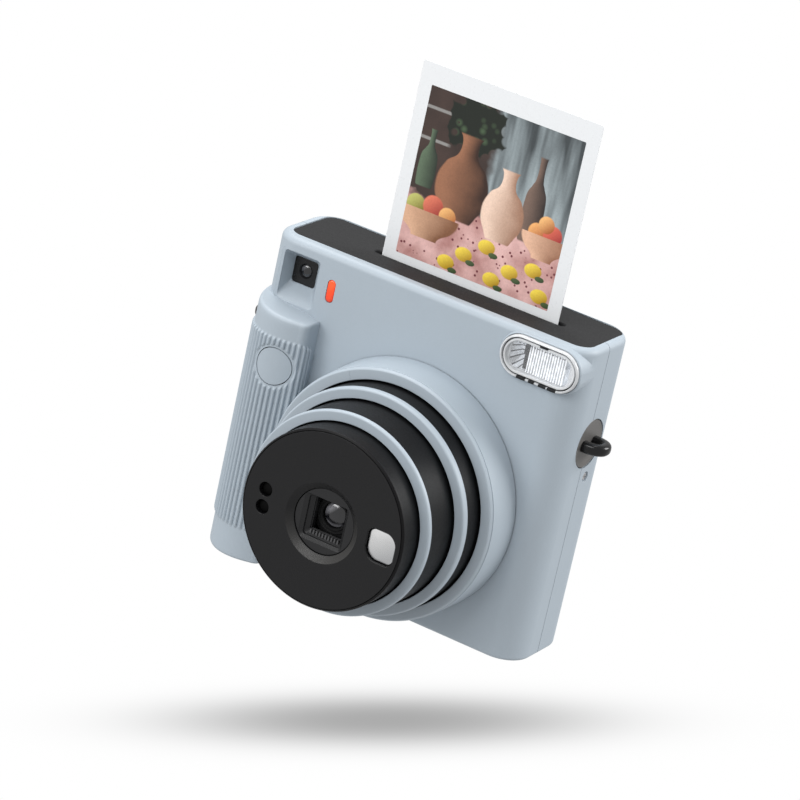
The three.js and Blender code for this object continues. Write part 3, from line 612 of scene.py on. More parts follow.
# Half widths of a vessel's outline at heights from its foot (0) to its rim (1), as shares of its radius.
JUG = [(0, 0.55), (0.08, 0.68), (0.36, 1.0), (0.62, 0.78), (0.78, 0.36), (0.9, 0.32), (1, 0.44)]
BOTTLE = [(0, 0.86), (0.06, 1.0), (0.5, 1.0), (0.66, 0.6), (0.76, 0.34), (0.95, 0.32), (1, 0.4)]
BOWL = [(0, 0.42), (0.12, 0.45), (0.5, 0.84), (0.85, 1.0), (1, 1.0)]
# (outline, centre, foot, height, radius, shaded colour, lit colour)
VESSELS = [
    (BOTTLE, 0.08, 0.42, 0.34, 0.055, (0.02, 0.03, 0.02), (0.11, 0.16, 0.10)),
    (JUG, 0.32, 0.30, 0.50, 0.17, (0.035, 0.014, 0.008), (0.34, 0.15, 0.08)),
    (BOTTLE, 0.78, 0.33, 0.50, 0.065, (0.03, 0.02, 0.018), (0.20, 0.13, 0.10)),
    (JUG, 0.60, 0.27, 0.42, 0.135, (0.36, 0.19, 0.12), (0.90, 0.66, 0.52)),
]
BOWLS = [
    (BOWL, 0.89, 0.26, 0.14, 0.15, (0.30, 0.13, 0.07), (0.82, 0.50, 0.34)),
    (BOWL, 0.15, 0.13, 0.16, 0.20, (0.22, 0.09, 0.04), (0.74, 0.44, 0.28)),
]
# Fruit heaped behind the rims of the bowls: (centre, height, radius, shaded colour, lit colour).
HEAPED = [
    (0.83, 0.41, 0.055, (0.42, 0.10, 0.03), (0.92, 0.45, 0.16)),
    (0.93, 0.42, 0.06, (0.35, 0.03, 0.03), (0.80, 0.16, 0.10)),
    (0.88, 0.47, 0.05, (0.42, 0.12, 0.03), (0.95, 0.52, 0.20)),
    (0.06, 0.31, 0.06, (0.20, 0.16, 0.02), (0.55, 0.55, 0.16)),
    (0.17, 0.33, 0.065, (0.36, 0.04, 0.03), (0.78, 0.20, 0.12)),
    (0.27, 0.30, 0.055, (0.42, 0.12, 0.03), (0.92, 0.50, 0.18)),
]
LEMONS = [(0.42, 0.13), (0.55, 0.22), (0.72, 0.13), (0.86, 0.19), (0.62, 0.05), (0.93, 0.06), (0.32, 0.05)]


class Canvas:
    """A picture painted shape by shape; u goes from 0 to 1 across it and v from 0 to 1 up it."""

    def __init__(self, nodes, where):
        self.nodes, self.where = nodes, where
        x, _, z = nodes.axes(where)
        self.u = x.spread(PICTURE_X0 * MM, (PICTURE_X0 + PICTURE_SIDE) * MM)
        self.v = z.spread((PICTURE_Z1 - PICTURE_SIDE) * MM, PICTURE_Z1 * MM)
        self.wobble = nodes.noise(where, 9.0, 3.0).spread(0.3, 0.7, -0.03, 0.03)

    def paint(self, mask, color):
        self.color = self.nodes.mix(mask, self.color, color)

    def backdrop(self):
        """A dark wall with two shelves and a hanging plant, and a curtain beside it."""
        nodes, where = self.nodes, self.where
        folds = nodes.noise(nodes.stretched(where, (1.0, 1.0, 0.12)), 5.0)
        wall = nodes.mix(nodes.noise(where, 14.0, 3.0), (0.010, 0.007, 0.006), (0.085, 0.05, 0.04))
        curtain = nodes.mix(folds.spread(0.35, 0.65), (0.05, 0.06, 0.065), (0.36, 0.42, 0.44))
        self.color = nodes.mix((self.u + self.wobble).spread(0.44, 0.50), wall, curtain)
        for shelf in (0.70, 0.88):
            edge = (self.v - shelf).apply("ABSOLUTE").spread(0.012, 0.006)
            self.paint(edge * self.u.spread(0.2, 0.17), (0.28, 0.27, 0.26))
        leaves = nodes.cells(where, 300.0)
        leafy = nodes.mix(leaves.spread(0.1, 0.5), (0.06, 0.10, 0.05), (0.008, 0.012, 0.007))
        du, dv = self.u - 0.33, self.v - 0.86
        ragged = (du * du + dv * dv) ** 0.5 + leaves * -0.12
        self.paint(ragged.spread(0.11, 0.09), leafy)

    def cloth(self):
        """A pink table cloth with dark dots."""
        nodes, where = self.nodes, self.where
        blush = nodes.noise(where, 11.0, 3.0).spread(0.35, 0.65)
        pink = nodes.mix(blush, (0.46, 0.22, 0.20), (0.80, 0.50, 0.47))
        dots = nodes.cells(where, 420.0).spread(0.22, 0.16)
        dotted = nodes.mix(dots, pink, (0.16, 0.03, 0.04))
        self.paint((self.v + self.wobble * 1.2).spread(0.37, 0.34), dotted)

    def oval(self, cu, cv, ru, rv, shaded, lit):
        du, dv = (self.u - cu) / ru, (self.v - cv) / rv
        light = (dv - du).spread(-1.2, 1.2)
        self.paint((du * du + dv * dv).spread(1.1, 0.88), self.nodes.mix(light, shaded, lit))

    def vessel(self, outline, cu, foot, height, radius, shaded, lit):
        rise = (self.v - foot) / height
        curve = self.nodes.add("ShaderNodeFloatCurve", {"Value": rise})
        points = curve.mapping.curves[0].points
        points[0].location, points[1].location = outline[0], outline[-1]
        for point in outline[1:-1]:
            points.new(*point)
        curve.mapping.update()
        across = (self.u - cu) / (Value(self.nodes, curve.outputs[0]) * radius)
        within = across.apply("ABSOLUTE").spread(1.03, 0.96)
        mask = within * (rise.spread(-0.01, 0.01) * rise.spread(1.01, 0.99))
        light = (across + self.wobble * 6.0).spread(0.9, -0.75)
        self.paint(mask, self.nodes.mix(light, shaded, lit))


def picture_material():
    """The developed picture: a plain still life of vessels and fruit on a dotted cloth by a curtain."""
    nodes, where = start_material("picture_still_life")
    canvas = Canvas(nodes, where)
    canvas.backdrop()
    canvas.cloth()
    for row in VESSELS:
        canvas.vessel(*row)
    for u, v, r, shaded, lit in HEAPED:
        canvas.oval(u, v, r, r, shaded, lit)
    for row in BOWLS:
        canvas.vessel(*row)
    for u, v in LEMONS:
        canvas.oval(u, v, 0.055, 0.042, (0.45, 0.25, 0.01), (0.95, 0.72, 0.08))
        canvas.oval(u + 0.05, v - 0.035, 0.03, 0.016, (0.03, 0.06, 0.02), (0.08, 0.12, 0.04))
    grain = nodes.noise(where, 0.5)
    canvas.paint(grain.spread(0.3, 0.7, 0.0, 0.12), BLACK)
    return nodes.shade({"Base Color": canvas.color, "Roughness": grain.spread(0.3, 0.7, 0.28, 0.34)})


def reflector_material():
    """Polished reflector with painted shade in dark folds that fan out left of the tube's holder, and a
    painted glow on the rest.
    """
    nodes, where = start_material("bright_reflector")
    x, _, z = nodes.axes(where)
    turn = nodes.math("ARCTAN2", z - FLASH_Z * MM, x - HOLDER_X * MM)
    # Painted shade: dark folds fanning out from the tube's holder.
    painted_fold_shade = (turn * 18.0).apply("SINE").spread(0.55, 0.95)
    left = x.spread((HOLDER_X - 0.4) * MM, (HOLDER_X - 0.9) * MM)
    smudge = nodes.noise(where, 0.8, 3.0).spread(0.35, 0.65, 0, 0.45)
    base = nodes.mix(smudge, (0.96, 0.97, 1.0), (0.5, 0.53, 0.56))
    return nodes.shade({
        "Base Color": nodes.mix(painted_fold_shade * left, base, (0.05, 0.05, 0.06)),
        "Roughness": smudge.spread(0, 0.45, 0.12, 0.3),
        "Metallic": 0.75,
        # Painted glow: the reflector gives off a little light outside the dark folds.
        "Emission Color": (0.9, 0.95, 1.0),
        "Emission Strength": (painted_fold_shade * left).spread(0, 1, 0.2, 0.0),
    })


def flute_material():
    """Clear flutes with painted highlights: bright and glowing along each crest, with painted grey shade
    between them.
    """
    nodes, where = start_material("clear_flutes")
    phase = (nodes.axes(where)[0] - (HOLDER_X + 1.4) * MM) * (2 * PI / (FLUTE_PITCH * MM))
    ripple = nodes.noise(where, 1.5).spread(0.3, 0.7, -0.5, 0.5)
    # Painted highlight on each flute's crest and painted shade between the crests; the crests also glow a
    # little.
    wave = (phase.apply("COSINE") + ripple).spread(-1.0, 0.6)
    return nodes.shade({
        "Base Color": nodes.mix(wave, (0.22, 0.24, 0.27), (0.97, 0.98, 1.0)),
        "Alpha": wave.spread(0, 1, 0.45, 0.8),
        "Roughness": 0.1,
        "Emission Color": (0.92, 0.96, 1.0),
        "Emission Strength": wave.spread(0, 1, 0.0, 0.3),
    })


def board_material():
    """Green circuit board with lighter tracks and small pads."""
    nodes, where = start_material("circuit_board")
    turned_to_face = nodes.value("ShaderNodeMapping", {"Vector": where, "Rotation": (0, PI / 2, 0)})
    tracks = nodes.value("ShaderNodeTexBrick", {
        "Vector": turned_to_face, "Scale": 160.0, "Mortar Size": 0.06, "Color1": (0.012, 0.11, 0.045),
        "Color2": (0.016, 0.13, 0.05), "Mortar": (0.035, 0.22, 0.09),
    })
    pads = nodes.cells(where, 260.0)
    return nodes.shade({
        "Base Color": nodes.mix(pads.spread(0.14, 0.1), tracks, (0.6, 0.45, 0.2)),
        "Roughness": pads.spread(0, 0.5, 0.3, 0.45),
    })


WHITE, BLACK = (1, 1, 1), (0, 0, 0)
BODY_BLUE = (0.36, 0.415, 0.465)
# Every material by its short name.
M = {
    "shell": plastic("moulded_blue_grey", BODY_BLUE, 0.48, 0.32, 0.035, 0.05, edge=0.2),
    "shell_fine": plastic("moulded_blue_grey_fine", BODY_BLUE, 0.46, 0.25, 0.02, 0.04),
    "plate": plastic(
        "moulded_dark_grey", (0.016, 0.0162, 0.017), 0.65, 0.35, 0.06, 0.1, edge=0.2, specular=0.22,
    ),
    "black": plastic("satin_black", (0.0035, 0.0035, 0.004), 0.42, 0.3, 0.02, 0.08, edge=0.15, specular=0.16),
    # The paler band on the recess bevel is a painted highlight.
    "face": plastic(
        "grained_black", (0.004, 0.004, 0.0047), 0.38, 0.28, 0.05, 0.12, edge=0.12, specular=0.34,
        painted_highlight_band=(EYE_OF_FACE, RECESS_INNER + 0.1, RECESS_OUTER - 0.05, (0.035, 0.034, 0.033)),
    ),
    "inner": plastic("matt_black", (0.005, 0.005, 0.0055), 0.6, 0.4, 0.04, 0.1, specular=0.2),
    "gloss_black": plastic("gloss_black", (0.004, 0.004, 0.0045), 0.2, 1.2, 0.01, 0.05, specular=0.4),
    "taupe": plastic("painted_taupe", (0.115, 0.11, 0.105), 0.42, 0.25, 0.03, 0.1),
    "gear": plastic("natural_nylon", (0.72, 0.68, 0.6), 0.45, 0.4, 0.02, 0.06),
    "rubber": plastic("black_rubber", (0.02, 0.02, 0.02), 0.75, 0.3, 0.04, 0.15),
    "cell": plastic("cell_sleeve", (0.05, 0.13, 0.26), 0.3, 2.0, 0.02, 0.2),
    "steel": metal("plain_steel", (0.55, 0.55, 0.56), 0.32),
    "can": metal("bright_can", (0.7, 0.7, 0.71), 0.25),
    "clear": clear("clear_plastic", 0.07),
    "rib_black": plastic("rib_black", (0.06, 0.06, 0.062), 0.35, 0.3, 0.02, 0.08),
    "inner_soft": plastic("soft_black", (0.012, 0.012, 0.013), 0.45, 0.3, 0.03, 0.08, specular=0.35),
    "mirror": mirror_material(),
    "lamp": lamp_material(),
    # The last number sets how bright the painted highlight on the glass is.
    "lens": lens_material("lens_painted_highlight", TAKING_EYE, TAKING_R, 0.3),
    "finder_lens": lens_material("finder_painted_highlight", FINDER_EYE, FINDER_R, 0.12),
    "finder_black": plastic("finder_black", (0.007, 0.007, 0.008), 0.3, 0.8, 0.01, 0.05, specular=0.35),
    "dark_glass": plastic("dark_glass", (0.004, 0.004, 0.005), 0.13, 6.0, 0.002, 0.1, specular=0.9),
    "clear_rim": clear("clear_rim", 0.62, 0.05, (0.92, 0.94, 0.96), 1.0),
    "clear_flute": flute_material(),
    "void": plastic("deep_black", (0.0012, 0.0012, 0.0012), 0.6, 0.6, 0.01, 0.1, specular=0.08),
    "seal": plastic("dark_seal", (0.012, 0.012, 0.013), 0.4, 0.4, 0.02, 0.1, specular=0.3),
    "smoke": clear("smoked_window", 0.55, 0.1, (0.05, 0.045, 0.02), 0.6),
    "pale": plastic("pale_moulding", (0.66, 0.68, 0.7), 0.25, 0.6, 0.01, 0.06),
    "bright": reflector_material(),
    "paper": plastic("coated_paper", (0.76, 0.775, 0.79), 0.3, 0.5, 0.006, 0.02),
    "film_back": plastic("film_backing", (0.02, 0.02, 0.022), 0.3, 0.4, 0.01, 0.1),
    "picture": picture_material(),
    "board": board_material(),
}

# The CAD nodes that keep their own shape, and the material of each.
CARRIED = {
    "chassis": "inner", "film_pack": "inner", "film_sheets": "paper", "lens_guide_tube": "inner",
    "viewfinder_tube": "inner", "battery_bay": "inner", "roller_front": "rubber", "roller_rear": "rubber",
    "roller_frame": "steel", "roller_gear_front": "gear", "roller_gear_rear": "gear", "idler_gear": "gear",
    "motor_pinion": "gear", "motor": "can", "shutter_blade_left": "steel", "shutter_blade_right": "steel",
    "flash_capacitor": "black", "button_switch": "black", "battery_lower": "cell", "battery_upper": "cell",
    "battery_contact": "can", "main_board": "board", "door_hinge_pin": "steel", "pressure_spring": "can",
}


def carried_over():
    """Gives the CAD nodes that keep their shape their materials."""
    for node, key in CARRIED.items():
        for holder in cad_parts[node].material_slots:
            holder.material = M[key]


# ---- Camera, floor and light; positions are in metres ----
CAMERA_AT = Vector((0.59225, -1.20758, 0.58306))
CAMERA_RIGHT = Vector((0.83930, 0.50443, 0.20280))
CAMERA_UP = Vector((-0.34921, 0.21429, 0.91221))
CAMERA_BACK = CAMERA_RIGHT.cross(CAMERA_UP)
CAMERA_LENS = 183.93
FLOOR_TILT = math.radians(9)
OBJECT_CENTRE = (Vector(CAD_LOW) + Vector(CAD_HIGH)) / 2


def add_camera():
    """The scene's camera, looking along its own back axis."""
    turn = Matrix((CAMERA_RIGHT, CAMERA_UP, CAMERA_BACK)).transposed().to_4x4()
    camera = bpy.data.objects.new("camera", bpy.data.cameras.new("camera"))
    camera.matrix_world = Matrix.Translation(CAMERA_AT) @ turn
    camera.data.lens, camera.data.sensor_width = CAMERA_LENS, 36.0
    camera.data.clip_start, camera.data.clip_end = 0.05, 50.0
    bpy.context.scene.collection.objects.link(camera)
    bpy.context.scene.camera = camera
    bpy.context.scene.view_settings.view_transform = "Standard"


def add_floor():
    """A wide board under the object, tilted with the camera."""
    floor_up = CAMERA_UP * math.cos(FLOOR_TILT) + CAMERA_BACK * math.sin(FLOOR_TILT)
    half = 1100
    corners = [(-half, -half, 0), (half, -half, 0), (half, half, 0), (-half, half, 0)]
    floor = add_mesh("floor", corners, [(0, 1, 2, 3)])
    aim = Matrix((CAMERA_RIGHT, floor_up.cross(CAMERA_RIGHT), floor_up)).transposed().to_4x4()
    floor.matrix_world = Matrix.Translation(OBJECT_CENTRE - floor_up * FLOOR_DROP * MM) @ aim
    floor.data.materials.append(floor_material())


def studio():
    """A camera, a pale floor under the tilted object, and four soft lights."""
    add_camera()
    add_floor()
    lamp("top_light", (-0.1, 2.0, 0.2), 1.3, 32)
    lamp("right_light", (1.7, 0.5, 0.0), 0.9, 23)
    lamp("left_light", (-1.6, 0.7, 1.3), 1.0, 19)
    lamp("front_light", (-0.5, 1.0, 1.9), 0.9, 13)
    world_light()


def lamp(name, offset, size, power):
    """A square area light at an offset along the camera's right, up and back, facing the object."""
    light = bpy.data.lights.new(name, "AREA")
    light.size, light.energy = size, power
    obj = bpy.data.objects.new(name, light)
    shift = CAMERA_RIGHT * offset[0] + CAMERA_UP * offset[1] + CAMERA_BACK * offset[2]
    aim = shift.to_track_quat("Z", "Y").to_matrix().to_4x4()
    obj.matrix_world = Matrix.Translation(OBJECT_CENTRE + shift) @ aim
    bpy.context.scene.collection.objects.link(obj)


def world_light():
    """White behind everything, and a softer white light on it from all sides."""
    world = bpy.data.worlds.new("studio")
    bpy.context.scene.world = world
    world.use_nodes = True
    nodes = Nodes(world.node_tree)
    seen, light = [nodes.value("ShaderNodeBackground", {"Color": WHITE, "Strength": s}) for s in (1.0, 0.63)]
    path = nodes.value("ShaderNodeLightPath", output="Is Camera Ray")
    both = nodes.value("ShaderNodeMixShader", {0: path, 1: light, 2: seen})
    nodes.add("ShaderNodeOutputWorld", {"Surface": both})


def floor_material():
    """A white board with one wide, soft shadow under the object; from below it isn't seen."""
    nodes, where = bare_material("white_board")
    x, y, _ = nodes.axes(where)
    u = (x - SHADOW_X * MM) / (SHADOW_WIDE * MM)
    v = (y - SHADOW_Y * MM) / (SHADOW_DEEP * MM)
    soft = ((u * u + v * v) ** 1.2 * -1.0).apply("EXPONENT")
    tone = (1.0 - soft * 0.33) ** 2.2
    board = nodes.value("ShaderNodeEmission", {"Color": nodes.mix(tone, BLACK, WHITE)})
    unseen = nodes.value("ShaderNodeBsdfTransparent")
    camera_ray = nodes.value("ShaderNodeLightPath", output="Is Camera Ray")
    above = 1.0 - nodes.value("ShaderNodeNewGeometry", output="Backfacing")
    both = nodes.value("ShaderNodeMixShader", {0: camera_ray * above, 1: unseen, 2: board})
    nodes.add("ShaderNodeOutputMaterial", {"Surface": both})
    return nodes.material


# ---- Outer form ----
def rounded_levels(z0, z1, r0, r1, steps=6):
    """(inset, height) rows of a side wall with rounded lower and upper edges."""
    turn = np.linspace(0, PI / 2, steps + 1)
    low = [(r0 * (1 - math.sin(t)), z0 + r0 * (1 - math.cos(t))) for t in turn]
    high = [(r1 * (1 - math.cos(t)), z1 - r1 * (1 - math.sin(t))) for t in turn]
    return low + high


def body_outline(inset):
    """Plan outline of the body without its grip."""
    return round_rect(LEFT + inset, RIGHT - inset, FRONT + inset, REAR - inset, CORNER - inset, 16, 6)


def body_form(inset, r0, r1):
    """The body without its grip, set in by a distance, with its lower and upper edges rounded."""
    levels = rounded_levels(inset, HEIGHT - inset, r0, r1)
    return skin([lift(body_outline(inset + i), z) for i, z in levels])


def line(a, b, n):
    """n points from a towards b, without b."""
    t = np.arange(n)[:, None] / n
    return np.array(a, float) * (1 - t) + np.array(b, float) * t


def bezier(points, n):
    """n points of a Bezier curve of any order, without its end point."""
    rows = [np.array(p, float)[None] for p in points]
    t = np.arange(n)[:, None] / n
    while len(rows) > 1:
        rows = [a * (1 - t) + b * t for a, b in zip(rows, rows[1:])]
    return rows[0]


def grip_outline(inset, side=None):
    """Plan outline of the hand grip, counter-clockwise; its flanks can be set in less than its front."""
    side = inset if side is None else side
    right, left, rear = GRIP_RIGHT - side, GRIP_LEFT + side, REAR - inset
    r = max(CORNER - inset, 0.5)
    corner = (right - 2.8, -28.15 + inset)
    crown = [corner, (right - 16.1, -34.1 + 1.2 * inset), (left + 0.85, -26 + inset), (left, -5)]
    turn = PI - np.linspace(0, PI / 2, 13)
    back = np.stack([left + r + r * np.cos(turn), rear - r + r * np.sin(turn)], axis=1)
    outline = np.concatenate([
        line((right, rear), (right, FRONT), 10),
        line((right, FRONT), (right, -24.2 + inset), 40),
        bezier([(right, -24.2 + inset), (right, -27.45 + inset), corner], 36),
        bezier(crown, CREST_POINTS),
        line((left, -5), (left, rear - r), SIDE_POINTS),
        back,
    ])
    return outline[::-1]


# The rounded front of the grip's top as (front inset, flank inset, height) rows; the last is its sharp rim.
GRIP_CROWN = [
    (0, 0, 86.8), (0.02, 0, 91), (0.08, 0.02, 92.6), (0.22, 0.08, 93.15), (0.45, 0.18, 93.55),
    (0.75, 0.3, 93.82), (1.1, 0.45, 93.99), (1.5, 0.65, 94.09), (2.1, 0.95, 94.14),
]


def crowned(outline, z):
    """A plan outline at height z, tipped down towards the lens above the ribs."""
    share = (z - GRIP_CROWN[0][2]) / (GRIP_CROWN[-1][2] - GRIP_CROWN[0][2])
    across = np.clip((outline[:, 0] - GRIP_LEFT) / (GRIP_RIGHT - GRIP_LEFT), 0, 1)
    return np.column_stack([outline, z + share * (0.95 - 2.2 * across)])


def smooth_step(x, a, b):
    """Rises from 0 at a to 1 at b, level at both."""
    t = np.clip((x - a) / (b - a), 0, 1)
    return t * t * (3 - 2 * t)


def rib_wave(outline):
    """Height from 0 to 1 of the ribs round the grip's front and outer side, by distance along the outline."""
    closed = np.concatenate([outline, outline[:1]])
    along_it = np.concatenate([[0], np.cumsum(np.linalg.norm(np.diff(closed, axis=0), axis=1))])[:-1]
    first = along_it[np.argmin(np.abs(outline[:, 1] + 4.0) + 100 * (outline[:, 0] > GRIP_LEFT + 1))]
    last = along_it[np.argmin(np.linalg.norm(outline - [GRIP_RIGHT, -21.3], axis=1))]
    count = round((last - first) / RIB_PITCH)
    phase = (along_it - first) / (last - first) * count
    wave = np.clip((np.abs(np.sin(PI * phase)) - 0.42) / 0.58, 0, 1)
    inside = (phase > 0) & (phase < count)
    return np.where(inside, wave ** 0.6, 0.0)


def rib_heights(base, z):
    """How far the ribs stand out at each point of the grip's outline, at height z."""
    radius = np.hypot(base[:, 0] - BUTTON_X, z - BUTTON_Z)
    beside_button = np.where(base[:, 1] < -10, smooth_step(radius, BUTTON_R + 0.9, BUTTON_R + 1.5), 1)
    rib_top = RIB_TOP - 0.35 * np.maximum(base[:, 1] + 28, 0) * (base[:, 0] > GRIP_RIGHT - 5)
    started = smooth_step(z, RIB_BOTTOM - 0.5, RIB_BOTTOM + 1)
    ended = smooth_step(z, rib_top - 1.1, rib_top)
    return RIB_HEIGHT * rib_wave(base) * beside_button * (started * (1 - ended))


def grip_form(ribbed=True):
    """The hand grip with its ribs, a rounded top edge, and a shelf that runs back into the body."""
    base = grip_outline(0)
    out = normals_of(base)
    foot = {z: inset for inset, z in rounded_levels(0, 50, 1.3, 0.1)[:7]}
    heights = list(foot)
    heights += [11.4, 11.8, 12.2, 12.8, 13.6] + list(np.arange(20, 66, 5))
    heights += list(np.arange(66, 84.1, 0.45)) + [84.8, 85.1, 85.35, 85.6, 85.85, 86.1]
    rings = []
    for z in heights:
        ring = grip_outline(foot.get(z, 0))
        if ribbed and z not in foot:
            ring = ring + out * rib_heights(base, z)[:, None]
        rings.append(lift(ring, z))
    rings += [crowned(grip_outline(front, side), z) for front, side, z in GRIP_CROWN]
    front, side, z_edge = GRIP_CROWN[-1]
    top = grip_outline(front + 0.25, side + 0.25)
    spine = np.stack([np.clip(top[:, 0], -57.5, -47.5), np.clip(top[:, 1], -13, 8)], axis=1)
    for t, rise in ((0, 0.02), (0.25, 0.2), (0.5, 0.5), (0.75, 0.8), (1, 1.2)):
        rings.append(crowned(top * (1 - t) + spine * t, z_edge + rise))
    return skin(rings)


def fairing():
    """The raised surround that carries the flash over the rounded corner."""
    flare = [(0.75, -4), (0.7, -14), (0.75, -18.4), (0.68, -19.0), (0.5, -19.4), (0.3, -19.57), (0.1, -19.6)]
    obj = add_mesh("fairing", *stood(flare, stadium))
    edge = [(0, 60), (0, HEIGHT - 3.2)] + rounded_levels(60, HEIGHT - 0.25, 0.1, 2.6)[7:]
    trim(obj, *skin([lift(round_rect(i, RIGHT - 0.05 - i, -30, 0, 0.5, 4), z) for i, z in edge]))
    mesh = obj.data
    verts = [tuple(v.co / MM) for v in mesh.vertices]
    faces = [tuple(p.vertices) for p in mesh.polygons]
    bpy.data.objects.remove(obj)
    return verts, faces


def inner_form():
    """The space inside both covers."""
    obj = add_mesh("inside", *body_form(WALL, 0.3, 0.3))
    grip = [grip_outline(WALL)[::4], grip_outline(WALL + 3.4)[::4]]
    join(obj, skin([lift(grip[0], WALL), lift(grip[0], 87), lift(grip[1], 90.2)]))
    return obj


def shell_form(name):
    """Both covers in one: the outer form with its inside taken out."""
    obj = add_mesh(name, *body_form(0, 1.4, 2.6))
    join(obj, grip_form(), fairing())
    boolean(obj, inner_form(), "DIFFERENCE")
    return obj


def plate_outline(grow):
    """Plan outline of the top plate."""
    (x0, y0, _), (x1, y1, _) = PLATE_LOW, PLATE_HIGH
    return round_rect(x0 - grow, x1 + grow, y0 - grow, y1 + grow, 5.5 + grow, 10, 4)


def shared_seats():
    """What is cut from both covers: the seats of the top plate and of the round plates of the strap loops."""
    plate = skin([lift(plate_outline(0.18), z) for z in (PLATE_LOW[2] - 0.5, HEIGHT + 10)])
    lugs = [rod(9.25, x - side * 1.2, x + side * 6, "X", (LUG_Y, LUG_Z)) for side, x in SIDES.items()]
    return [plate] + lugs


def finder_ring(grow, y):
    """The outline of the mouth of the viewfinder's funnel, grown by a distance."""
    return stand(rect_about((FINDER_X, FINDER_Z), 7.6 + grow, 9 + grow, 1.3 + grow, 6), y)


def finder_floor(grow, y):
    """The square opening at the bottom of the viewfinder's funnel."""
    return stand(rect_about((EYE_X, EYE_Z), 4.9 + grow, 4.9 + grow, 1.2 + grow, 6), y)


def front_cover():
    """The front half of the shell, with its openings."""
    obj = shell_form("front_shell")
    trim(obj, *block(-90, 90, -60, PARTING - 0.12, -10, 130))
    join(obj, skin([finder_floor(1.3, -10.9), finder_ring(1.2, FRONT + 1)]))
    mouth = [finder_floor(0, -8), finder_floor(0, -12.2)]
    lip = [(0, 0.55), (0.08, 0.2), (0.35, -0.01), (0.6, -0.3), (0.6, -3)]
    mouth += [finder_ring(grow, FRONT + d) for grow, d in lip]
    step = [(46.35, -60), (46.35, FRONT), (44.6, FRONT + 0.6), (43.7, FRONT + 0.8), (43.7, -10)]
    lens_hole = solid_turned([(0, -60)] + step + [(0, -10)], segments=192)
    button_hole = rod(BUTTON_R + 0.3, -60, -20, "Y", (BUTTON_X, BUTTON_Z), 96)
    lamp_hole = pad(lamp_outline(0.14), -40, -10, 0.01)
    flash_hole = pad(stadium(0.14), -40, -10, 0.01)
    hatch_hole = block(HATCH_LEFT - GAP, HATCH_RIGHT + GAP, -23.3, -4.7, -1, 3, 2.3)
    cut(obj, skin(mouth), lens_hole, button_hole, lamp_hole, flash_hole, hatch_hole, *shared_seats())
    finish(obj, "camera_body", "shell", M["shell"], "front_cover", angle=28)


def lamp_outline(grow):
    """The indicator lamp's rounded outline."""
    return rect_of("indicator_lamp", 1.45, 10, grow)


def rear_cover():
    """The rear half of the shell, with its openings."""
    obj = shell_form("rear_shell")
    trim(obj, *block(-90, 90, PARTING + 0.12, 60, -10, 130))
    low, high = DOOR_BOTTOM - GAP, DOOR_TOP + GAP
    door = pad(round_rect(DOOR_LEFT - GAP, 53.2, low, high, 3.8), 10, 30, 0.01)
    channel = block(51, 57.9, PIVOT[1] - 0.4, 30, low, high)
    round_channel = rod(2.7, low, high, "Z", PIVOT, 48)
    (x0, _, z0), (x1, _, z1) = BOX["door_latch"]
    slot = round_rect(x0 - GAP, x1 + GAP, z0 - GAP, z1 + LATCH_TRAVEL + GAP, 2.5)
    latch_hole = pad(slot, 10, 30, 0.01)
    eye = pad(rect_about((EYE_X, EYE_Z), 7.65, 6.15, 2.2), 10, 30, 0.01)
    counter_hole = rod(3.2, 10, 30, "Y", COUNTER_WINDOW, 48)
    sink = [(0, -1), (1.7, -1), (1.9, -0.2), (2.1, 1), (2.1, 3), (0, 3)]
    screw_hole = solid_turned([(r, RIGHT + d) for r, d in sink], "X", SCREW_AT, 32)
    cut(obj, door, channel, round_channel, latch_hole, eye, counter_hole, screw_hole, *shared_seats())
    finish(obj, "camera_body", "shell", M["shell"], "rear_cover", angle=28)


def top_plate():
    """The dark deck plate with the slot that the print comes out of."""
    z0, z1 = PLATE_LOW[2], PLATE_HIGH[2]
    levels = rounded_levels(z0, z1, 0.1, 0.35, 4)
    obj = add_mesh("top_deck", *skin([lift(plate_outline(-i), z) for i, z in levels]))
    half, deep = 38.9, 1.6
    slot = [(0, z0 - 2), (0, z1 - 0.45), (0.12, z1 - 0.2), (0.4, z1 + 0.02), (0.4, z1 + 3)]
    cut(obj, skin([lift(rect_about((SLOT_X, 0), half + g, deep + g, deep - 0.02 + g), z) for g, z in slot]))
    finish(obj, "camera_body", "plate", M["plate"], "top_plate", angle=30)


# ---- Lens tiers ----
def lens_ring():
    """The body-coloured ring that turns, with a short index mark cut in its face."""
    front, rear = BOX["lens_ring"][0][1], BOX["lens_ring"][1][1]
    profile = filleted([
        (45.95, rear, 0.2), (43.8, rear, 0), (43.8, -33.3, 0), (41.0, -33.5, 0), (41.0, front, 0.35),
        (44.75, front, 0.7), (45.3, front + 1.0, 0.25), (45.12, front + 1.25, 0), (45.12, front + 1.5, 0),
        (45.42, front + 1.6, 0.1), (45.8, -24, 6),
    ])
    obj = add_mesh("focus_ring", *turned(profile, 256))
    verts, faces = block(-0.3, 0.3, front - 0.4, front + 0.12, -1.5, 1.5, 0.2)
    c, s = math.cos(math.radians(118)), math.sin(math.radians(118))
    across, out = verts[:, 0], verts[:, 2] + 42.9
    mark = np.stack([LENS_X + out * c - across * s, verts[:, 1], LENS_Z + out * s + across * c], axis=1)
    cut(obj, (mark, faces))
    finish(obj, "lens_ring", "shell", M["shell_fine"], "lens_ring", angle=28)


def barrel(name, node, body, radius):
    """A black sliding tube with its guide flange at the rear."""
    low, high = BOX[node]
    flange = (high[0] - low[0]) / 2
    front, rear = low[1], high[1]
    profile = filleted([
        (radius, front, 0.15), (radius - 1.8, front, 0), (radius - 1.8, rear, 0), (flange, rear, 0.2),
        (flange, rear - 2, 0.2), (radius, rear - 2, 0),
    ], 3)
    piece(name, turned(profile, 256), body, "black", M["black"], node, angle=28)


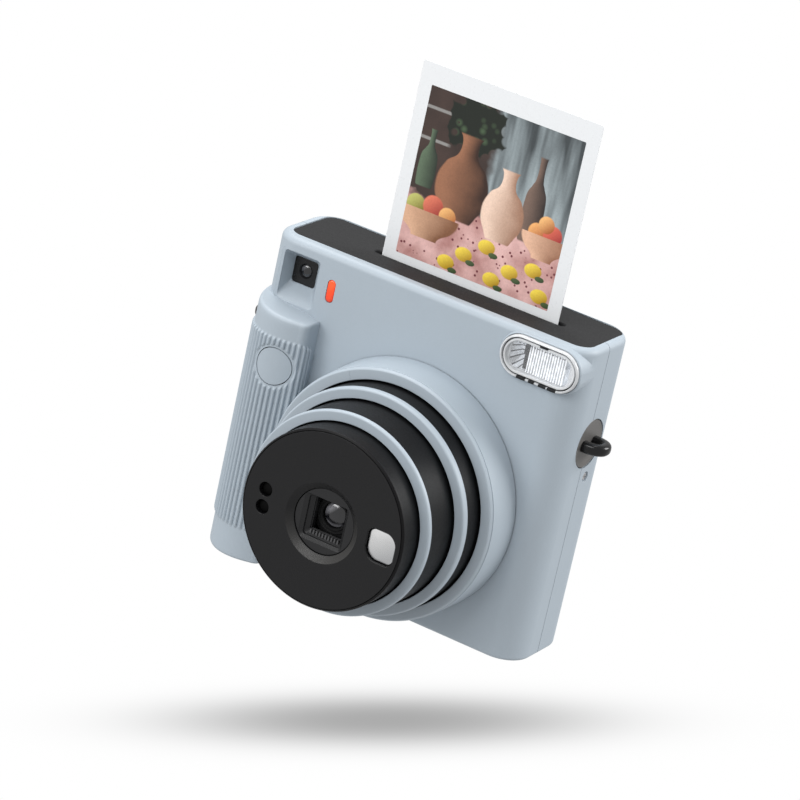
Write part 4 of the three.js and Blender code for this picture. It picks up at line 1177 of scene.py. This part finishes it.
def collar(name, node, body, inner, ease=0.0):
    """The body-coloured rim at the front of a tube."""
    low, high = BOX[node]
    outer = (high[0] - low[0]) / 2
    front, rear = low[1], high[1]
    profile = filleted([
        (outer, rear, 0.15), (inner, rear, 0), (inner, front, 0.3), (outer - ease, front, 0.75),
        (outer, front + 1.2, 0.5),
    ], 6)
    piece(name, turned(profile, 256), body, "shell", M["shell_fine"], node, angle=28)


def front_barrel():
    """The front tube with its thin rim round the face."""
    low, high = BOX["front_barrel"]
    front, rear, r = low[1], high[1], 32.1
    profile = filleted([
        (r, front + 0.75, 0.35), (31.45, front + 0.05, 0.15), (31.3, front + 0.25, 0), (31.3, front + 2.2, 0),
        (30.4, front + 2.2, 0), (30.4, rear, 0), (34.3, rear, 0.2), (34.3, rear - 2, 0.2), (r, rear - 2, 0),
    ], 4)
    shape = turned(profile, 256)
    piece("nose_tube", shape, "lens_front", "black", M["black"], "front_barrel", angle=28)


def mirror_outline(grow):
    """A square whose two opposite corners are rounded more than the others."""
    low, high = BOX["selfie_mirror"]
    w, h = (high[0] - low[0]) / 2 + grow, (high[2] - low[2]) / 2 + grow
    x, z = MIRROR[0], MIRROR[2]
    tight, wide = 2.2 + grow, 4.4 + grow
    corners = [(x - w, z - h, wide), (x + w, z - h, tight), (x + w, z + h, wide), (x - w, z + h, tight)]
    return filleted(corners, 10)


def face_plate():
    """The flat disc of the lens face, with its bevelled recess, mirror pocket and two sensor holes."""
    back = 3.4
    disc = [
        (0, 0), (31.0, 0), (31.12, 0.05), (31.17, 0.17), (31.17, 2.1), (30.2, 2.1), (30.2, back), (0, back),
    ]
    obj = add_mesh("face_disc", *solid_turned([(r, FACE + d) for r, d in disc], segments=256))
    outer, inner = RECESS_OUTER, RECESS_INNER
    recess = [
        (0, -1), (outer + 0.35, -1), (outer + 0.35, -0.1), (outer, 0), (outer - 0.15, 0.08),
        (inner + 0.1, 1.75), (inner, 1.9), (inner, back + 1), (0, back + 1),
    ]
    recess = [(r, FACE + d) for r, d in recess]
    pocket = [(0.4, FACE + 1.9), (0.4, FACE + 0.3), (0.75, FACE - 0.05), (0.75, FACE - 2)]
    cut(obj, solid_turned(recess, "Y", EYE_OF_FACE, 192), stood(pocket, mirror_outline))
    rim = [(0, 6), (2.55, 6), (2.55, 0.2), (2.72, -0.02), (2.72, -2), (0, -2)]
    for node in SENSORS:
        cut(obj, solid_turned([(r, FACE + d) for r, d in rim], "Y", front_centre(node), 48))
    finish(obj, "lens_front", "black", M["face"], "front_plate", angle=28)


def sensor(node):
    """A small dark dome at the bottom of its hole."""
    y = FACE + 2.0
    curve = [(2.45 * math.sin(t), y - 0.5 * math.cos(t)) for t in np.linspace(0.25, PI / 2, 7)]
    profile = [(0, y - 0.5)] + curve + [(2.45, y + 0.6), (0, y + 0.6)]
    shape = solid_turned(profile, "Y", front_centre(node), 48)
    piece(node.replace("_window", "_dome"), shape, "lens_front", "inner", M["void"], node)


def mirror():
    """The small convex mirror, bulging forwards out of its pocket."""
    y = FACE + 1.15
    edge = [(0.05, y + 0.7), (0.05, y + 0.2), (-0.12, y + 0.02)]
    rings = [stand(mirror_outline(grow), depth) for grow, depth in edge]
    outline, centre = mirror_outline(-0.12), np.array([MIRROR[0], MIRROR[2]])
    for t in (0.8, 0.6, 0.4, 0.2, 0.05):
        rings.append(stand(centre + (outline - centre) * t, y - 0.32 * (1 - t * t)))
    piece("selfie_mirror_glass", skin(rings), "lens_front", "mirror", M["mirror"], "selfie_mirror")


def mouth_ring(t, y):
    """The mouth's outline at depth y; t goes from 0 at its outer edge to 1 at its opening."""
    return stand(round_rect(*(MOUTH_OUTER * (1 - t) + MOUTH_INNER * t), 6), y)


def baffle():
    """The dark disc in the recess, with a square mouth that narrows in two steps."""
    floor, rear = FACE + 2.15, FACE + 7.5
    disc = [(0, floor), (11.55, floor), (11.7, floor + 0.15), (11.7, rear), (0, rear)]
    obj = add_mesh("light_baffle", *solid_turned(disc, "Y", EYE_OF_FACE, 128))
    steps = [
        (-0.14, -0.4), (-0.05, -0.1), (0.03, 0.05), (0.4, 0.85), (0.43, 0.87), (0.43, 1.5),
        (0.5, 1.52), (0.88, 2.6), (0.9, 2.62), (0.9, 3.1), (1, 3.12), (1, 8),
    ]
    cut(obj, skin([mouth_ring(t, floor + d) for t, d in steps]))
    finish(obj, "lens_front", "inner", M["inner_soft"], "lens_baffle", angle=25)
    baffle_ribs(floor)


def baffle_ribs(floor):
    """The ribbed ledge at the foot of the baffle's opening."""
    x0, x1, z0, _, _ = MOUTH_INNER
    ledge = block(x0 - 0.5, x1 + 0.5, floor + 2.9, floor + 4, z0 - 0.9, z0 + 0.55, 0.1)
    ribs = add_mesh("baffle_ribs", *ledge)
    for x in np.linspace(x0 + 0.5, x1 - 0.5, 10):
        join(ribs, block(x - 0.33, x + 0.33, floor + 1.8, floor + 3.2, z0 - 0.9, z0 + 0.7, 0.12))
    finish(ribs, "lens_front", "inner", M["rib_black"])


def lens_cell():
    """The drum behind the face, its cross wall, and the stepped bezel round the lens."""
    rear, front = BOX["shutter_housing"][1][1], BOX["shutter_housing"][0][1]
    drum = filleted([(29.8, front, 0.3), (27.6, front, 0), (27.6, rear, 0), (29.8, rear, 0.3)], 3)
    obj = add_mesh("shutter_drum", *turned(drum, 128))
    bezel = [
        (0, -63.9), (4.8, -63.9), (5.0, -64.15), (5.35, -64.15), (5.55, -63.75), (6.1, -63.75), (6.3, -63.95),
        (6.6, -63.95), (6.8, -63.5), (7.4, -63.5), (8.6, -63.3), (8.6, -57.4), (0, -57.4),
    ]
    join(obj, rod(27.9, -58.8, -57.3, segments=128), solid_turned(bezel, "Y", TAKING_EYE, 128))
    for side in (-1, 1):
        join(obj, rod(0.9, -57.4, -54.6, "Y", (LENS_X + side * 12, LENS_Z + 12), 24))
    bore = [(0, -70), (4.65, -70), (4.65, -63.2), (4.75, -61.5), (4.75, -50), (0, -50)]
    cut(obj, solid_turned(bore, "Y", TAKING_EYE, 96))
    finish(obj, "lens_front", "inner", M["inner"], "shutter_housing", angle=28)


def dome(name, nodes, body, slot, material, radius, front, bulge, thick, centre, segments=96):
    """A lens element with a bulging front."""
    curve = [(radius * math.sin(t), front + bulge * (1 - math.cos(t))) for t in np.linspace(0.08, PI / 2, 12)]
    profile = [(0, front)] + curve + [(radius, front + bulge + thick), (0, front + bulge + thick)]
    piece(name, solid_turned(profile, "Y", centre, segments), body, slot, material, *nodes)


# ---- Button, viewfinder, lamp and eyepiece ----
def button():
    """The release button: a disc cut from the same crowned surface as the grip."""
    plain = add_mesh("release_button", *grip_form(ribbed=False))
    rear = BOX["shutter_button"][1][1]
    disc = [(0, -40), (BUTTON_R, -40), (BUTTON_R, -25.4), (2.2, -25.4), (2.0, rear), (0, rear)]
    trim(plain, *solid_turned(disc, "Y", (BUTTON_X, BUTTON_Z), 96))
    finish(plain, "shutter_button", "shell", M["shell"], "shutter_button", angle=28)


def finder_window():
    """The dark viewfinder pane with a small front lens sunk in it."""
    y = BOX["viewfinder_window"][0][1]
    obj = add_mesh("finder_bezel", *pad(rect_about((EYE_X, EYE_Z), 4.85, 4.85, 1.1, 6), y, y + 1.1, 0.2))
    sink = [(0, y - 2), (2.75, y - 2), (2.75, y - 0.01), (2.5, y + 0.35), (2.3, y + 0.75), (0, y + 0.75)]
    cut(obj, solid_turned(sink, "Y", FINDER_EYE, 48))
    finish(obj, "camera_body", "black", M["finder_black"], "viewfinder_window")
    glass = M["finder_lens"]
    dome("finder_lens", [], "camera_body", "lens_glass", glass, FINDER_R, y + 0.1, 0.6, 0.1, FINDER_EYE, 48)


def indicator():
    """The lamp's cap, domed in small steps."""
    y = BOX["indicator_lamp"][0][1]
    rows = [(-0.02, 3.5), (-0.02, 0.5), (-0.1, 0.22), (-0.28, 0.06), (-0.6, 0), (-1.1, -0.04)]
    shape = stood([(grow, y + d) for grow, d in rows], lamp_outline)
    piece("lamp_cap", shape, "camera_body", "lamp", M["lamp"], "indicator_lamp")


def eyepiece():
    """The rubber eyecup with a stepped opening, and the glass in it."""
    low, high = BOX["eyepiece_frame"]
    obj = add_mesh("eyecup", *pad_back(rect_of("eyepiece_frame", 2.0), low[1], high[1], 0.5))
    hole = [(0, -3), (0, 0.6), (0.5, 1.6), (1.3, 2.4), (2.2, 2.62), (2.2, 5)]

    def opening(g):
        return rect_about((EYE_X, EYE_Z), 4.3 + g * 0.7, 3.3 + g * 0.7, 1.2 + g * 0.5, 6)

    cut(obj, stood([(g, low[1] + d) for g, d in hole], opening))
    finish(obj, "camera_body", "black", M["rubber"], "eyepiece_frame")
    glass = pad_back(rect_about((EYE_X, EYE_Z), 4.1, 3.1, 1.1, 6), 16.3, 17.6, 0.3)
    piece("eyepiece_glass", glass, "camera_body", "lens_glass", M["dark_glass"], "eyepiece_lens")


# ---- Flash ----
def flash_ring(name, rows, front, slot, key, *nodes):
    """A ring that follows the flash's outline, from its (grow, depth) section."""
    shape = skin([stand(stadium(grow), front + d) for grow, d in rows], loop=True)
    piece(name, shape, "camera_body", slot, M[key], *nodes, angle=50)


def flash():
    """Two bright clear rims round a clear pane, with a dark ring sunk between them that paints the shade in
    the gap.
    """
    front = BOX["flash_cover"][0][1]
    rim = [(-0.05, 3.8), (-0.05, 0.9), (-0.2, 0.35), (-0.5, 0.05), (-0.8, 0.05), (-1.0, 0.4), (-1.0, 3.8)]
    lip = [(-1.4, 2.6), (-1.4, 0.65), (-1.6, 0.4), (-2.1, 0.4), (-2.35, 0.7), (-2.35, 2.6)]
    # The dark ring at the bottom of the gap between the rims is painted shade.
    seal = [(-1.0, 2.2), (-1.0, 0.9), (-1.4, 0.9), (-1.4, 2.2)]
    flash_ring("flash_rim", rim, front, "clear", "clear_rim", "flash_cover")
    flash_ring("flash_lip", lip, front, "clear", "clear_rim")
    flash_ring("flash_gap_shade_ring", seal, front, "inner", "seal")
    pane = pad(stadium(-2.35), front + 0.95, front + 1.5, 0.1)
    piece("flash_pane", pane, "camera_body", "clear", M["clear"])
    flash_bed(front)
    reflector(front)
    tube_and_holder(front)
    fluted_pane(front + 1.9)


def tab(x, z, half, tall, y0, y1):
    """A small flat bar about a point of the front view."""
    return pad(rect_about((x, z), half, tall, 0.15, 3), y0, y1, 0.1)


def flash_bed(front):
    """The pale panel round the reflector, the dark clips of the rim, and a dashed line over the flutes."""
    y = front + 2.6
    obj = add_mesh("flash_bed", *pad(stadium(-1.65), y, y + 0.8, 0.1))
    hole = round_rect(REFLECTOR_X0 + 0.4, REFLECTOR_X1 - 0.4, REFLECTOR_Z0 + 0.4, REFLECTOR_Z1 - 0.4, 2.4, 6)
    cut(obj, pad(hole, y - 1, y + 2, 0.01))
    finish(obj, "camera_body", "reflector", M["pale"])
    low_z, high_z = FLASH_Z - FLASH_HALF + 0.6, FLASH_Z + FLASH_HALF - 1.3
    clips = [(-5.3, low_z, 1.8), (-1.1, low_z, 1.2), (3.2, low_z, 1.5), (6.9, low_z, 1.7), (0.8, high_z, 1.6)]
    shapes = [tab(FLASH_X + dx, z, half, 0.45, front - 0.02, front + 1.5) for dx, z, half in clips]
    for k in range(15):
        x = REFLECTOR_X0 + 2.4 + 1.45 * k
        shapes.append(tab(x, REFLECTOR_Z1 - 0.95, 0.42, 0.13, y - 0.95, y - 0.75))
    tabs = add_mesh("flash_clips", *shapes[0])
    join(tabs, *shapes[1:])
    finish(tabs, "camera_body", "inner", M["seal"])


def reflector(front):
    """The bright trough behind the tube."""
    def ring(inset_x, inset_z, y, r):
        x0, x1 = REFLECTOR_X0 + inset_x, REFLECTOR_X1 - inset_x
        return stand(round_rect(x0, x1, REFLECTOR_Z0 + inset_z, REFLECTOR_Z1 - inset_z, r, 6, 10), y)

    depths = [
        (0, 0, 3.0, 2.6), (0.5, 0.6, 4.6, 2.4), (1.0, 1.5, 6.2, 2.1),
        (1.5, 2.7, 7.8, 1.7), (1.8, 3.9, 9.0, 1.2),
    ]
    inside = [ring(ix, iz, front + y, r) for ix, iz, y, r in depths]
    outside = [ring(ix - 0.5, iz - 0.5, front + y + 0.5, r + 0.3) for ix, iz, y, r in reversed(depths)]
    outside[-1][:, 1] = front + 3.0
    verts, faces = skin(inside + outside, loop=True)
    count = len(inside[0])
    first = (len(inside) - 1) * count
    second, end = first + count, first + 2 * count
    faces = [f for f in faces if not (min(f) >= first and max(f) < end)]
    faces += [tuple(range(first, second)), tuple(range(end - 1, second - 1, -1))]
    trough = (verts, faces)
    piece("flash_trough", trough, "camera_body", "reflector", M["bright"], "flash_reflector", angle=40)


def tube_and_holder(front):
    """The flash tube and its dark holder."""
    low, high = BOX["flash_tube"]
    x0, x1 = low[0], high[0]
    y, z = MIDDLE["flash_tube"][1], MIDDLE["flash_tube"][2]
    profile = [(0, x0), (0.8, x0), (1.0, x0 + 0.4), (1.0, x1 - 0.4), (0.8, x1), (0, x1)]
    tube = solid_turned(profile, "X", (y, z), 32)
    piece("flash_lamp", tube, "camera_body", "clear", M["pale"], "flash_tube")
    x, top = HOLDER_X, REFLECTOR_Z1
    shape = block(x - 0.6, x + 0.6, front + 2.7, front + 8.6, REFLECTOR_Z0 + 1.2, top - 1.2, 0.4)
    holder = add_mesh("tube_holder", *shape)
    join(holder, block(x - 1.3, x + 1.1, front + 3.0, front + 8.4, z + 1.1, top - 1.6, 0.5))
    finish(holder, "camera_body", "inner", M["seal"])


def fluted_pane(y):
    """The clear panel with upright flutes that spreads the light."""
    x0, x1 = HOLDER_X + 1.4, REFLECTOR_X1 - 1.6
    z0, z1 = REFLECTOR_Z0 + 0.6, REFLECTOR_Z1 - 0.6
    steps = np.linspace(x0, x1, 161)
    depth = 0.26 * (0.5 - 0.5 * np.cos((steps - x0) / FLUTE_PITCH * 2 * PI))
    rows = []
    for z in (z0, z1):
        front = np.stack([steps, y + depth, np.full(len(steps), z)], axis=1)
        back = np.stack([steps[::-1], np.full(len(steps), y + 0.6), np.full(len(steps), z)], axis=1)
        rows.append(np.concatenate([front, back]))
    piece("flash_flutes", skin(rows), "camera_body", "clear", M["clear_flute"], angle=40)


# ---- Film print ----
def print_sheet():
    """The finished print: its pale sheet, its picture and its dark back."""
    front, rear = BOX["print"][0][1], BOX["print"][1][1]
    outline = rect_of("print", 0.8, 6)
    rings = [stand(outline, rear - 0.04), stand(outline, front + 0.06)]
    rings.append(stand(outline - 0.03 * normals_of(outline), front + 0.03))
    piece("print_sheet", skin(rings), "print", "paper", M["paper"], "print")
    x0, z1 = PICTURE_X0, PICTURE_Z1
    picture = round_rect(x0, x0 + PICTURE_SIDE, z1 - PICTURE_SIDE, z1, 0.3, 3)
    shape = skin([stand(picture, front + d) for d in (0.1, 0.012)])
    piece("print_picture", shape, "print", "paper", M["picture"])
    back = rect_of("print", 1.1, 6, grow=-0.3)
    shape = skin([stand(back, rear - d) for d in (0.1, 0.01)])
    piece("print_back", shape, "print", "inner", M["film_back"])


# ---- Strap loops and side screw ----
def squared(t, power):
    """Cosine and sine of t raised to a power below 1, which squares the circle off."""
    return [math.copysign(abs(f(t)) ** power, f(t)) for f in (math.cos, math.sin)]


def loop_path(reach, half):
    """The middle line of a strap loop, as (out, along) points with their outward normals."""
    path = [(-1.0, -half)]
    for t in np.linspace(0.0, PI, 33):
        c, s = squared(t, 0.85)
        path.append((reach * max(0.0, s), -half * c))
    path = np.array(path + [(-1.0, half)])
    tangent = np.gradient(path, axis=0)
    tangent /= np.linalg.norm(tangent, axis=1)[:, None]
    return path, np.stack([-tangent[:, 1], tangent[:, 0]], axis=1)


def strap_loop(side, name):
    """A thick loop that stands out of the side."""
    low, high = BOX[f"strap_lug_{name}"]
    foot = SIDES[side] + side * 0.1
    tip = high[0] if side > 0 else low[0]
    thick = 2.05
    path, outward = loop_path(abs(tip - foot) - thick, (high[1] - low[1]) / 2 + 0.35 - thick)
    rings = []
    for p, n in zip(path, outward):
        ring = []
        for t in np.linspace(0, 2 * PI, 20, endpoint=False):
            c, s = squared(t, 0.75)
            q = p + n * thick * c
            ring.append((foot + side * q[0], LUG_Y + q[1], LUG_Z + thick * s))
        rings.append(np.array(ring))
    node, material = f"strap_lug_{name}", M["gloss_black"]
    piece(f"strap_loop_{name}", skin(rings), "camera_body", "black", material, node, angle=50)


def lug_disc(side, name):
    """The round plate behind a strap loop."""
    low, high = BOX[f"lug_plate_{name}"]
    inner, outer = (low[0], high[0]) if side > 0 else (high[0], low[0])
    d = side * 0.25
    profile = [(0, inner), (8.9, inner), (9.0, outer - d), (8.75, outer), (8.0, outer)]
    profile += [(7.8, outer - d * 0.4), (0, outer - d * 0.4)]
    shape = solid_turned(profile, "X", (LUG_Y, LUG_Z), 96)
    piece(f"lug_disc_{name}", shape, "camera_body", "taupe", M["taupe"], f"lug_plate_{name}")


def screw():
    """The small screw in the side, with its cross slot."""
    inner, outer = BOX["side_screw"][0][0], BOX["side_screw"][1][0]
    y, z = MIDDLE["side_screw"][1], MIDDLE["side_screw"][2]
    profile = [(0, inner), (1.45, inner), (1.45, outer - 0.35), (1.3, outer - 0.12), (0.9, outer)]
    obj = add_mesh("case_screw", *solid_turned(profile + [(0, outer + 0.03)], "X", (y, z), 40))
    for wide, tall in ((0.16, 1.0), (1.0, 0.16)):
        cut(obj, block(outer - 0.45, outer + 1, y - wide, y + wide, z - tall, z + tall))
    finish(obj, "camera_body", "steel", M["can"], "side_screw")


# ---- Rear ----
def film_door():
    """The back door with its hinge knuckle, its grip lines and its window."""
    y0, y1 = REAR - WALL, REAR
    outline = round_rect(DOOR_LEFT, DOOR_RIGHT, DOOR_BOTTOM, DOOR_TOP, 3.6)
    obj = add_mesh("back_door", *pad_back(outline, y0, y1, 0.45))
    web = block(50, PIVOT[0], PIVOT[1] - 0.1, REAR - 0.3, DOOR_BOTTOM, DOOR_TOP)
    barrel_end = [(0, DOOR_BOTTOM), (1.7, DOOR_BOTTOM), (1.9, DOOR_BOTTOM + 0.2)]
    knuckle = barrel_end + [(1.9, DOOR_TOP - 0.2), (1.7, DOOR_TOP), (0, DOOR_TOP)]
    join(obj, web, solid_turned(knuckle, "Z", PIVOT, 48))
    window = [(0.3, y0 - 1), (0.3, y1 - 0.5), (0.9, y1 + 0.02), (0.9, y1 + 2)]
    opening = stood(window, lambda grow: rect_of("film_window", 1.9, grow=grow))
    cut(obj, rod(1.05, 0, 110, "Z", PIVOT, 32), opening)
    for k in range(5):
        x = DOOR_LEFT + 3.2 + k * 1.9
        cut(obj, pad(round_rect(x - 0.45, x + 0.45, 42, 62, 0.44, 4), y1 - 0.35, y1 + 2, 0.01))
    finish(obj, "film_door", "shell", M["shell_fine"], "film_door", angle=28)
    low, high = BOX["film_window"]
    pane = pad_back(rect_of("film_window", 1.7), low[1], high[1], 0.25)
    piece("film_pane", pane, "film_door", "clear", M["smoke"], "film_window")


def latch():
    """The door's ribbed slider, with a hidden skirt that keeps its slot closed."""
    low, high = BOX["door_latch"]
    y1 = high[1] - 0.4
    obj = add_mesh("latch_slider", *pad_back(rect_of("door_latch", 2.2), low[1], y1, 0.35))
    for k in range(6):
        z = (low[2] + high[2]) / 2 - 3.75 + k * 1.5
        rib = round_rect(low[0] + 1.1, high[0] - 1.1, z - 0.35, z + 0.35, 0.3, 3)
        join(obj, pad_back(rib, y1 - 0.3, high[1] - 0.02, 0.25))
    hidden = REAR - WALL
    skirt = round_rect(low[0] - 1.0, high[0] + 1.0, low[2] - 2.6, high[2] + 2.6, 1.5, 6)
    neck = block(low[0] + 0.6, high[0] - 0.6, hidden - 0.5, low[1] + 0.3, low[2] + 0.6, high[2] - 0.6)
    join(obj, pad_back(skirt, hidden - 1.0, hidden - 0.2, 0.1), neck)
    finish(obj, "door_latch", "black", M["black"], "door_latch")


def counter():
    """The exposure counter: a window over a dial with plain numbers."""
    low, high = BOX["counter_window"]
    profile = [(0, low[1]), (3.1, low[1]), (3.1, high[1] - 0.3), (2.8, high[1] - 0.02), (0, high[1] + 0.12)]
    pane = solid_turned(profile, "Y", COUNTER_WINDOW, 48)
    piece("counter_pane", pane, "camera_body", "clear", M["clear"], "counter_window")
    y0, y1 = BOX["counter_dial"][0][1], BOX["counter_dial"][1][1]
    profile = filleted([(9.0, y0, 0.1), (9.0, y1, 0.2), (1.3, y1, 0), (1.3, y0, 0)], 3)
    disc = turned(profile, 96, "Y", COUNTER_AXIS)
    piece("counter_disc", disc, "counter_dial", "gear", M["gear"], "counter_dial")
    digits = [number(k, y1) for k in range(10)]
    bpy.ops.object.select_all(action="DESELECT")
    for d in digits:
        d.select_set(True)
    bpy.context.view_layer.objects.active = digits[0]
    bpy.ops.object.join()
    digits[0].name = "counter_numbers"
    finish(digits[0], "counter_dial", "black", M["inner"])


def number(k, y):
    """One raised number of the dial, upright when the dial has turned it to the window."""
    text = bpy.data.curves.new(f"number_{k}", "FONT")
    text.body, text.size, text.extrude = str(k), 3.4 * MM, 0.06 * MM
    text.align_x, text.align_y = "CENTER", "CENTER"
    shape = bpy.data.objects.new(f"number_{k}", text)
    bpy.context.scene.collection.objects.link(shape)
    mesh = bpy.data.meshes.new_from_object(shape.evaluated_get(bpy.context.evaluated_depsgraph_get()))
    bpy.data.objects.remove(shape)
    obj = bpy.data.objects.new(f"number_{k}", mesh)
    bpy.context.scene.collection.objects.link(obj)
    faced = Matrix.Rotation(PI, 4, "Z") @ Matrix.Rotation(PI / 2, 4, "X")
    placed = Matrix.Rotation(k * PI / 5, 4, "Y") @ Matrix.Translation((0, 0, -6.5 * MM)) @ faced
    x, z = COUNTER_AXIS
    mesh.transform(Matrix.Translation((x * MM, (y + 0.03) * MM, z * MM)) @ placed)
    return obj


def hatch():
    """The battery door with a rounded edge and a ribbed finger pad."""
    x0, x1, y0, y1 = HATCH_LEFT, HATCH_RIGHT, BOX["battery_door"][0][1], -5.75
    outline = round_rect(x0, x1, y0, y1 + 2.0, 2.0, 8)
    levels = [(0.4, 0.4), (0.12, 0.5), (0, 0.75), (0, 1.9)]
    obj = add_mesh("battery_hatch", *skin([lift(outline - normals_of(outline) * i, z) for i, z in levels]))
    trim(obj, *block(-80, 0, -40, y1, 0, 3))
    for k in range(5):
        y = y0 + 2.4 + k * 1.1
        cut(obj, block(-55.5, -46.5, y, y + 0.5, 0, 0.75, 0.2))
    hinge = (y1, 1.15)
    join(obj, rod(0.75, x0 + 1.5, x1 - 1.5, "X", hinge, 24), rod(0.45, x0 - 1.3, x1 + 1.3, "X", hinge, 16))
    finish(obj, "battery_door", "shell", M["shell_fine"], "battery_door", angle=28)


# ---- Scene ----
studio()
carried_over()
front_cover()
rear_cover()
top_plate()
lens_ring()
barrel("tube_1", "stage_1_barrel", "stage_1", 40.35)
collar("rim_1", "stage_1_collar", "stage_1", 36.75, 0.3)
barrel("tube_2", "stage_2_barrel", "stage_2", 36.1)
collar("rim_2", "stage_2_collar", "stage_2", 32.6, 0.2)
front_barrel()
face_plate()
for window in SENSORS:
    sensor(window)
mirror()
baffle()
lens_cell()
dome(
    "taking_lens", ["front_lens"], "lens_front", "lens_glass", M["lens"],
    TAKING_R, TAKING_FRONT, 1.5, 1.0, TAKING_EYE,
)
button()
finder_window()
indicator()
eyepiece()
flash()
print_sheet()
for side, name in ((1, "right"), (-1, "left")):
    strap_loop(side, name)
    lug_disc(side, name)
screw()
film_door()
latch()
counter()
hatch()
